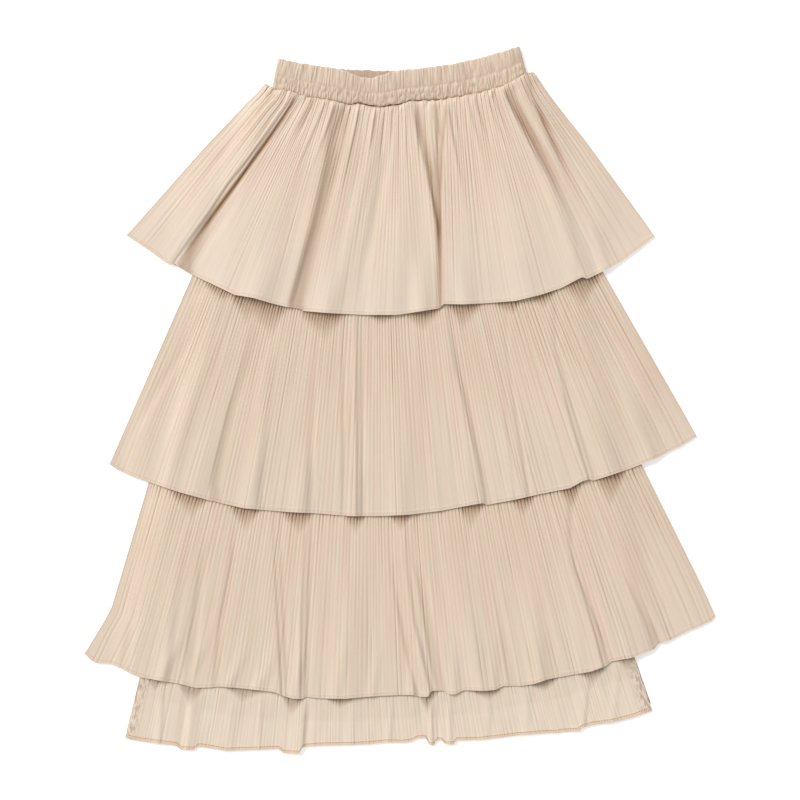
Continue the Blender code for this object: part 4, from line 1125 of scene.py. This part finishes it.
def underskirt_front(material):
    """The front of the underskirt: plain under the flounces, lightly pleated where it shows."""
    rng = np.random.default_rng(21)
    sections = UNDERSKIRT_SECTIONS
    hem_rows = 1.0 - np.asarray([6.7, 5.7, 4.7, 2.5, 0.5, 0.0]) / UNDERSKIRT_LENGTH
    shares = np.concatenate([np.linspace(0.0, 0.84, 10), np.linspace(0.855, 0.99, 46), hem_rows])
    places = uneven_pleats(rng, UNDERSKIRT_PLEATS, UNDERSKIRT_PLEAT_WIDTHS)
    wave = pleat_wave(rng, UNDERSKIRT_PLEATS, 0.3, 0.0, shares, UNDERSKIRT_LENGTH)
    hem_x = sections[-1].left_x + (sections[-1].right_x - sections[-1].left_x) * places
    place_grid, share_grid = np.meshgrid(places, shares)
    soft = wander(rng, place_grid * WAVE_WIDTH, share_grid * UNDERSKIRT_LENGTH, 11.0, 40.0)
    rows, ups, acrosses, painted_shade_amounts = [], [], [], []
    for k, share in enumerate(shares):
        row = section_at(sections, share)
        width = row.right_x - row.left_x
        x = row.left_x + width * places
        y = meet_waist(share, x, line_y(row, x))
        past_flounce = line_y(TIER_3_SECTIONS[-1], x) - y
        in_sight = smooth(-STRIP / 2.0, STRIP, past_flounce)
        below = below_hem("underskirt", x, y)
        hollow = hollow_depth("underskirt", x, below)
        at_side = smooth(0.0, PLEAT_SIDE_REACH, np.minimum(places, 1.0 - places) * width)
        shown = in_sight * at_side
        above = 0.9 + fold_heights(UNDERSKIRT_LINES, share, x, y, 0.1) + 0.5 * soft[k]
        above = (above - 0.6 * hollow) * shown
        above = (above + np.sqrt(above ** 2 + 0.04)) / 2.0
        z = front_floor("underskirt", x, y) + above
        y = y - hem_dips(sections, UNDERSKIRT_HEM, share, hem_x) * in_sight
        points = np.stack([x, y, z], axis=1)
        in_turn = (1.0 - share) * UNDERSKIRT_LENGTH < UNDERSKIRT_TURN
        deeper = 1.0 - smooth(0.0, COMB_REACH, below)
        half = UNDERSKIRT_PLEAT_HALF + UNDERSKIRT_PLEAT_MORE * deeper * (0.6 + hollow)
        half = half * smooth(-STRIP / 2.0, 0.0, past_flounce) * at_side
        offset = half * (1.0 + wave[k]) + (HEM_THICKER if in_turn else 0.0)
        rows.append(points + square_up(points) * offset[:, None])
        acrosses.append(places * UNDERSKIRT_WIDTH)
        ups.append(np.full_like(places, (1.0 - share) * UNDERSKIRT_LENGTH))
        # Shade painted into the creases of the pleats and into the hollows under the flounce.
        painted_shade_amounts.append(CREASE_SHADE_PAINT * half * np.maximum(-wave[k], 0.0) + HOLLOW_SHADE_PAINT * hollow)
    sheet = cloth_sheet("underskirt_front_cloth", rows, ups, acrosses, painted_shade_amounts, material)
    return sheet, rows


# The waistband is a casing folded over its elastic: cloth from the seam up its inner side,
# over the top edge and down its outer side. A row is one line along it: its share of the way
# down from the top edge, and its height in the wall from the inner side, 0, to the outer, 1.
CasingRow = namedtuple("CasingRow", "share height")
CASING_EDGE = (
    CasingRow(0.030, 0.00), CasingRow(0.012, 0.10), CasingRow(0.003, 0.28),
    CasingRow(0.000, 0.50), CasingRow(0.003, 0.72), CasingRow(0.012, 0.90),
)
CASING_DOWN = 30        # rows down the outer side
BAND_COLUMNS = 560
STITCH_LINE = 0.56      # share of the way down where the two channels are parted
BAND_HEIGHT = 37.0
BAND_WIDTH = 310.0      # as gathered
BAND_CLOTH = 430.0      # as cut


def casing(name, base, dip, gathers, seed, material):
    """One half of the waistband. Its two channels are gathered on either side of a stitch line."""
    rng = np.random.default_rng(seed)
    inner = [CasingRow(share, 0.0) for share in np.linspace(1.0, 0.06, 6)]
    outer = [CasingRow(share, 1.0) for share in np.linspace(0.03, 1.0, CASING_DOWN)]
    table = inner + list(CASING_EDGE) + outer
    place = np.linspace(0.0, 1.0, BAND_COLUMNS + 1)
    place_grid, share_grid = np.meshgrid(place, np.linspace(0.0, 1.0, 61))
    along, across = place_grid * BAND_WIDTH, share_grid * BAND_HEIGHT
    upper = 1.15 * np.abs(wander(rng, along, across, 2.9, 26.0)) - 0.4
    upper = upper + 0.42 * wander(rng, along, across, 1.6, 14.0)
    upper = upper + 0.45 * wander(rng, along, across, 7.0, 20.0)
    lower = 1.25 * np.abs(wander(rng, along, across, 2.8, 8.0)) - 0.42
    lower = lower + 0.55 * wander(rng, along, across, 1.7, 4.0)
    broad = wander(rng, along, across, 16.0, 30.0)
    edge_wave = wander(rng, along, across, 3.6, 60.0) + 0.5 * wander(rng, along, across, 12.0, 60.0)
    rows, ups, acrosses, painted_shade_amounts = [], [], [], []
    down = 0.0
    last = None
    for line in table:
        share = line.share
        x, y = plan(BAND_SECTIONS, share, place)
        y = y - dip * (1.0 - share) * np.exp(-((x - DIP_X) / DIP_REACH) ** 2)
        y = y + seam_strays(x) * smooth(0.3, 1.0, share)
        end = np.minimum(x - x[0], x[-1] - x)
        closing = np.sqrt(1.0 - np.clip(1.0 - end / 4.0, 0.0, 1.0) ** 2)
        k = min(int(share * 60.0), 60)
        at_top = 1.0 - float(smooth(0.0, 0.12, share))
        at_seam = float(smooth(0.93, 1.0, share))
        y = y + 0.7 * edge_wave[0] * at_top + 0.9 * np.abs(edge_wave[60]) * at_seam
        in_lower = float(smooth(STITCH_LINE - 0.03, STITCH_LINE + 0.03, share))
        pinch = math.exp(-((share - STITCH_LINE) / 0.04) ** 2)
        if share < STITCH_LINE:
            channel = math.sin(math.pi * share / STITCH_LINE)
        else:
            channel = 0.7 * math.sin(math.pi * (share - STITCH_LINE) / (1.0 - STITCH_LINE))
        relief = gathers * (upper[k] * (1.0 - in_lower) + 1.15 * lower[k] * in_lower)
        relief = relief * (1.0 - 0.35 * pinch) + 0.35 * gathers * broad[k]
        # Shade painted into the hollows of the gathers, a little over the lower channel and most along
        # the seam.
        painted_shade_amounts.append(0.22 * np.maximum(0.3 - relief, 0.0) + 0.06 * in_lower + 0.35 * at_seam)
        relief = relief + 0.7 * channel - 0.4 * pinch - 0.3 * at_seam
        z = base + 0.3 + (BAND - 0.6) * line.height * closing
        z = z + relief * line.height * closing
        points = np.stack([x, y, z], axis=1)
        if last is not None:
            down += float(np.linalg.norm(points - last, axis=1).mean())
        last = points
        rows.append(points)
        acrosses.append(place * BAND_CLOTH)
        ups.append(np.full_like(place, -down))
    return cloth_sheet(name + "_cloth", rows, ups, acrosses, painted_shade_amounts, material, sharp=80.0)


# What each sheet was cut to: width and length in metres, and what it lies on.
Cut = namedtuple("Cut", "width length area held rests_on")


def declare(piece, node):
    """Hide the part that a sheet stands for and let the sheet ride on the root body."""
    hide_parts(node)
    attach(piece, "root")


def carry_thread(piece):
    """A row of stitches goes with the body."""
    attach(piece, "root")


def studio():
    """A white board lit from below, a broad light at the upper left, the camera straight above."""
    bpy.ops.object.select_all(action="DESELECT")
    bpy.ops.mesh.primitive_plane_add(size=24.0, location=(0.0, 0.0, -0.0005))
    floor = bpy.context.object
    floor.name = "floor"
    material = bpy.data.materials.new("matt_white_board")
    material.use_nodes = True
    shader = material.node_tree.nodes["Principled BSDF"]
    shader.inputs["Base Color"].default_value = srgb("#FBFBFA")
    shader.inputs["Roughness"].default_value = 0.9
    shader.inputs["Emission Color"].default_value = (1.0, 1.0, 1.0, 1.0)
    shader.inputs["Emission Strength"].default_value = BOARD_GLOW
    floor.data.materials.append(material)

    world = bpy.data.worlds.new("studio")
    bpy.context.scene.world = world
    world.use_nodes = True
    background = world.node_tree.nodes["Background"]
    background.inputs["Color"].default_value = (1.0, 1.0, 1.0, 1.0)
    background.inputs["Strength"].default_value = SKY

    light = bpy.data.lights.new("softbox", "SUN")
    light.angle = math.radians(KEY_SOFTNESS)
    light.energy = KEY
    lamp = bpy.data.objects.new("softbox", light)
    bpy.context.scene.collection.objects.link(lamp)
    lamp.rotation_euler = (0.0, math.radians(90.0 - KEY_ELEVATION), math.radians(KEY_AZIMUTH))

    camera_data = bpy.data.cameras.new("camera")
    camera_data.sensor_width = SENSOR
    camera_data.lens = SENSOR * (CAMERA_HEIGHT - MEAN_HEIGHT) / FRAME_WIDTH
    camera = bpy.data.objects.new("camera", camera_data)
    camera.location = (FRAME_CENTRE[0] * MM, FRAME_CENTRE[1] * MM, CAMERA_HEIGHT * MM)
    bpy.context.scene.collection.objects.link(camera)
    bpy.context.scene.camera = camera
    bpy.context.scene.view_settings.view_transform = "Standard"


NO_TURN = -1000.0      # of cloth with no turned hem
ANY_WIDTH = 1000.0     # of cloth whose side seams don't show

studio()
flounce_cloth = cloth_material(Cloth(
    "pleated_polyester_woven", "#E6D3BF", "#DFCAB3", "#E4C7B6", "#E9DACA", "#926A44", "#E3CFBA",
    HEM_TURN, ANY_WIDTH, 0.0))
# The two lower flounces are of the same cloth, in a copy with shade painted in, a little deeper,
# as they lie below the first.
shaded_lower_cloth = cloth_material(Cloth(
    "pleated_polyester_woven_painted_shade", "#E1CEB9", "#DAC5AD", "#DFC1AF", "#E3D3C2", "#926A44",
    "#DECAB5", HEM_TURN, ANY_WIDTH, 0.0))
underskirt_cloth = cloth_material(Cloth(
    "plain_polyester_woven", "#E6D6C2", "#E0CDB7", "#E4CCB9", "#E7D8C6", "#8C6C52", "#DFC8B0",
    UNDERSKIRT_TURN, UNDERSKIRT_WIDTH, 0.50))
band_cloth = cloth_material(Cloth(
    "gathered_polyester_casing", "#DFCBB6", "#D6C0A9", "#DBBFAB", "#DFCBB6", "#8A6849", "#D6C0A9",
    NO_TURN, ANY_WIDTH, 0.0))
# The back half of the waistband, whose inner side shows behind the front's dip, is a copy of the
# casing cloth with shade painted in.
shaded_band_cloth = cloth_material(Cloth(
    "casing_in_painted_shade", "#C6AF99", "#B8A08A", "#C0A392", "#C6AF99", "#7A5B40", "#B8A08A",
    NO_TURN, ANY_WIDTH, 0.0))
hem_thread = thread_material("spun_polyester_thread", "#BFA07E")
fine_thread = thread_material("fine_polyester_thread", "#DCC7AF")

for flounce in FLOUNCES:
    cloth = flounce_cloth if flounce.name == "tier_1" else shaded_lower_cloth
    front, rows = flounce_front(flounce, cloth)
    hem_row = stitches(flounce.name + "_hem_stitches", rows[TURN_ROW], flounce.thread, fine_thread)
    carry_thread(hem_row)
    declare(front, flounce.name + "_front")
    back = panel_back(flounce.name, flounce.length, BACK_PLEATS, BACK_HEM_SHY, cloth)
    declare(back, flounce.name + "_back")
front, rows = underskirt_front(underskirt_cloth)
hem_row = stitches("underskirt_hem_stitches", rows[TURN_ROW], UNDERSKIRT_THREAD, hem_thread)
carry_thread(hem_row)
declare(front, "underskirt_front")
back = panel_back("underskirt", UNDERSKIRT_LENGTH, UNDERSKIRT_BACK_PLEATS, UNDERSKIRT_BACK_SHY,
                  underskirt_cloth)
declare(back, "underskirt_back")
declare(casing("waistband_front", BAND + SEAM_GAP, DIP_DEPTH, 0.90, 41, band_cloth),
        "waistband_front")
declare(casing("waistband_back", 0.0, 0.0, 0.30, 42, shaded_band_cloth), "waistband_back")
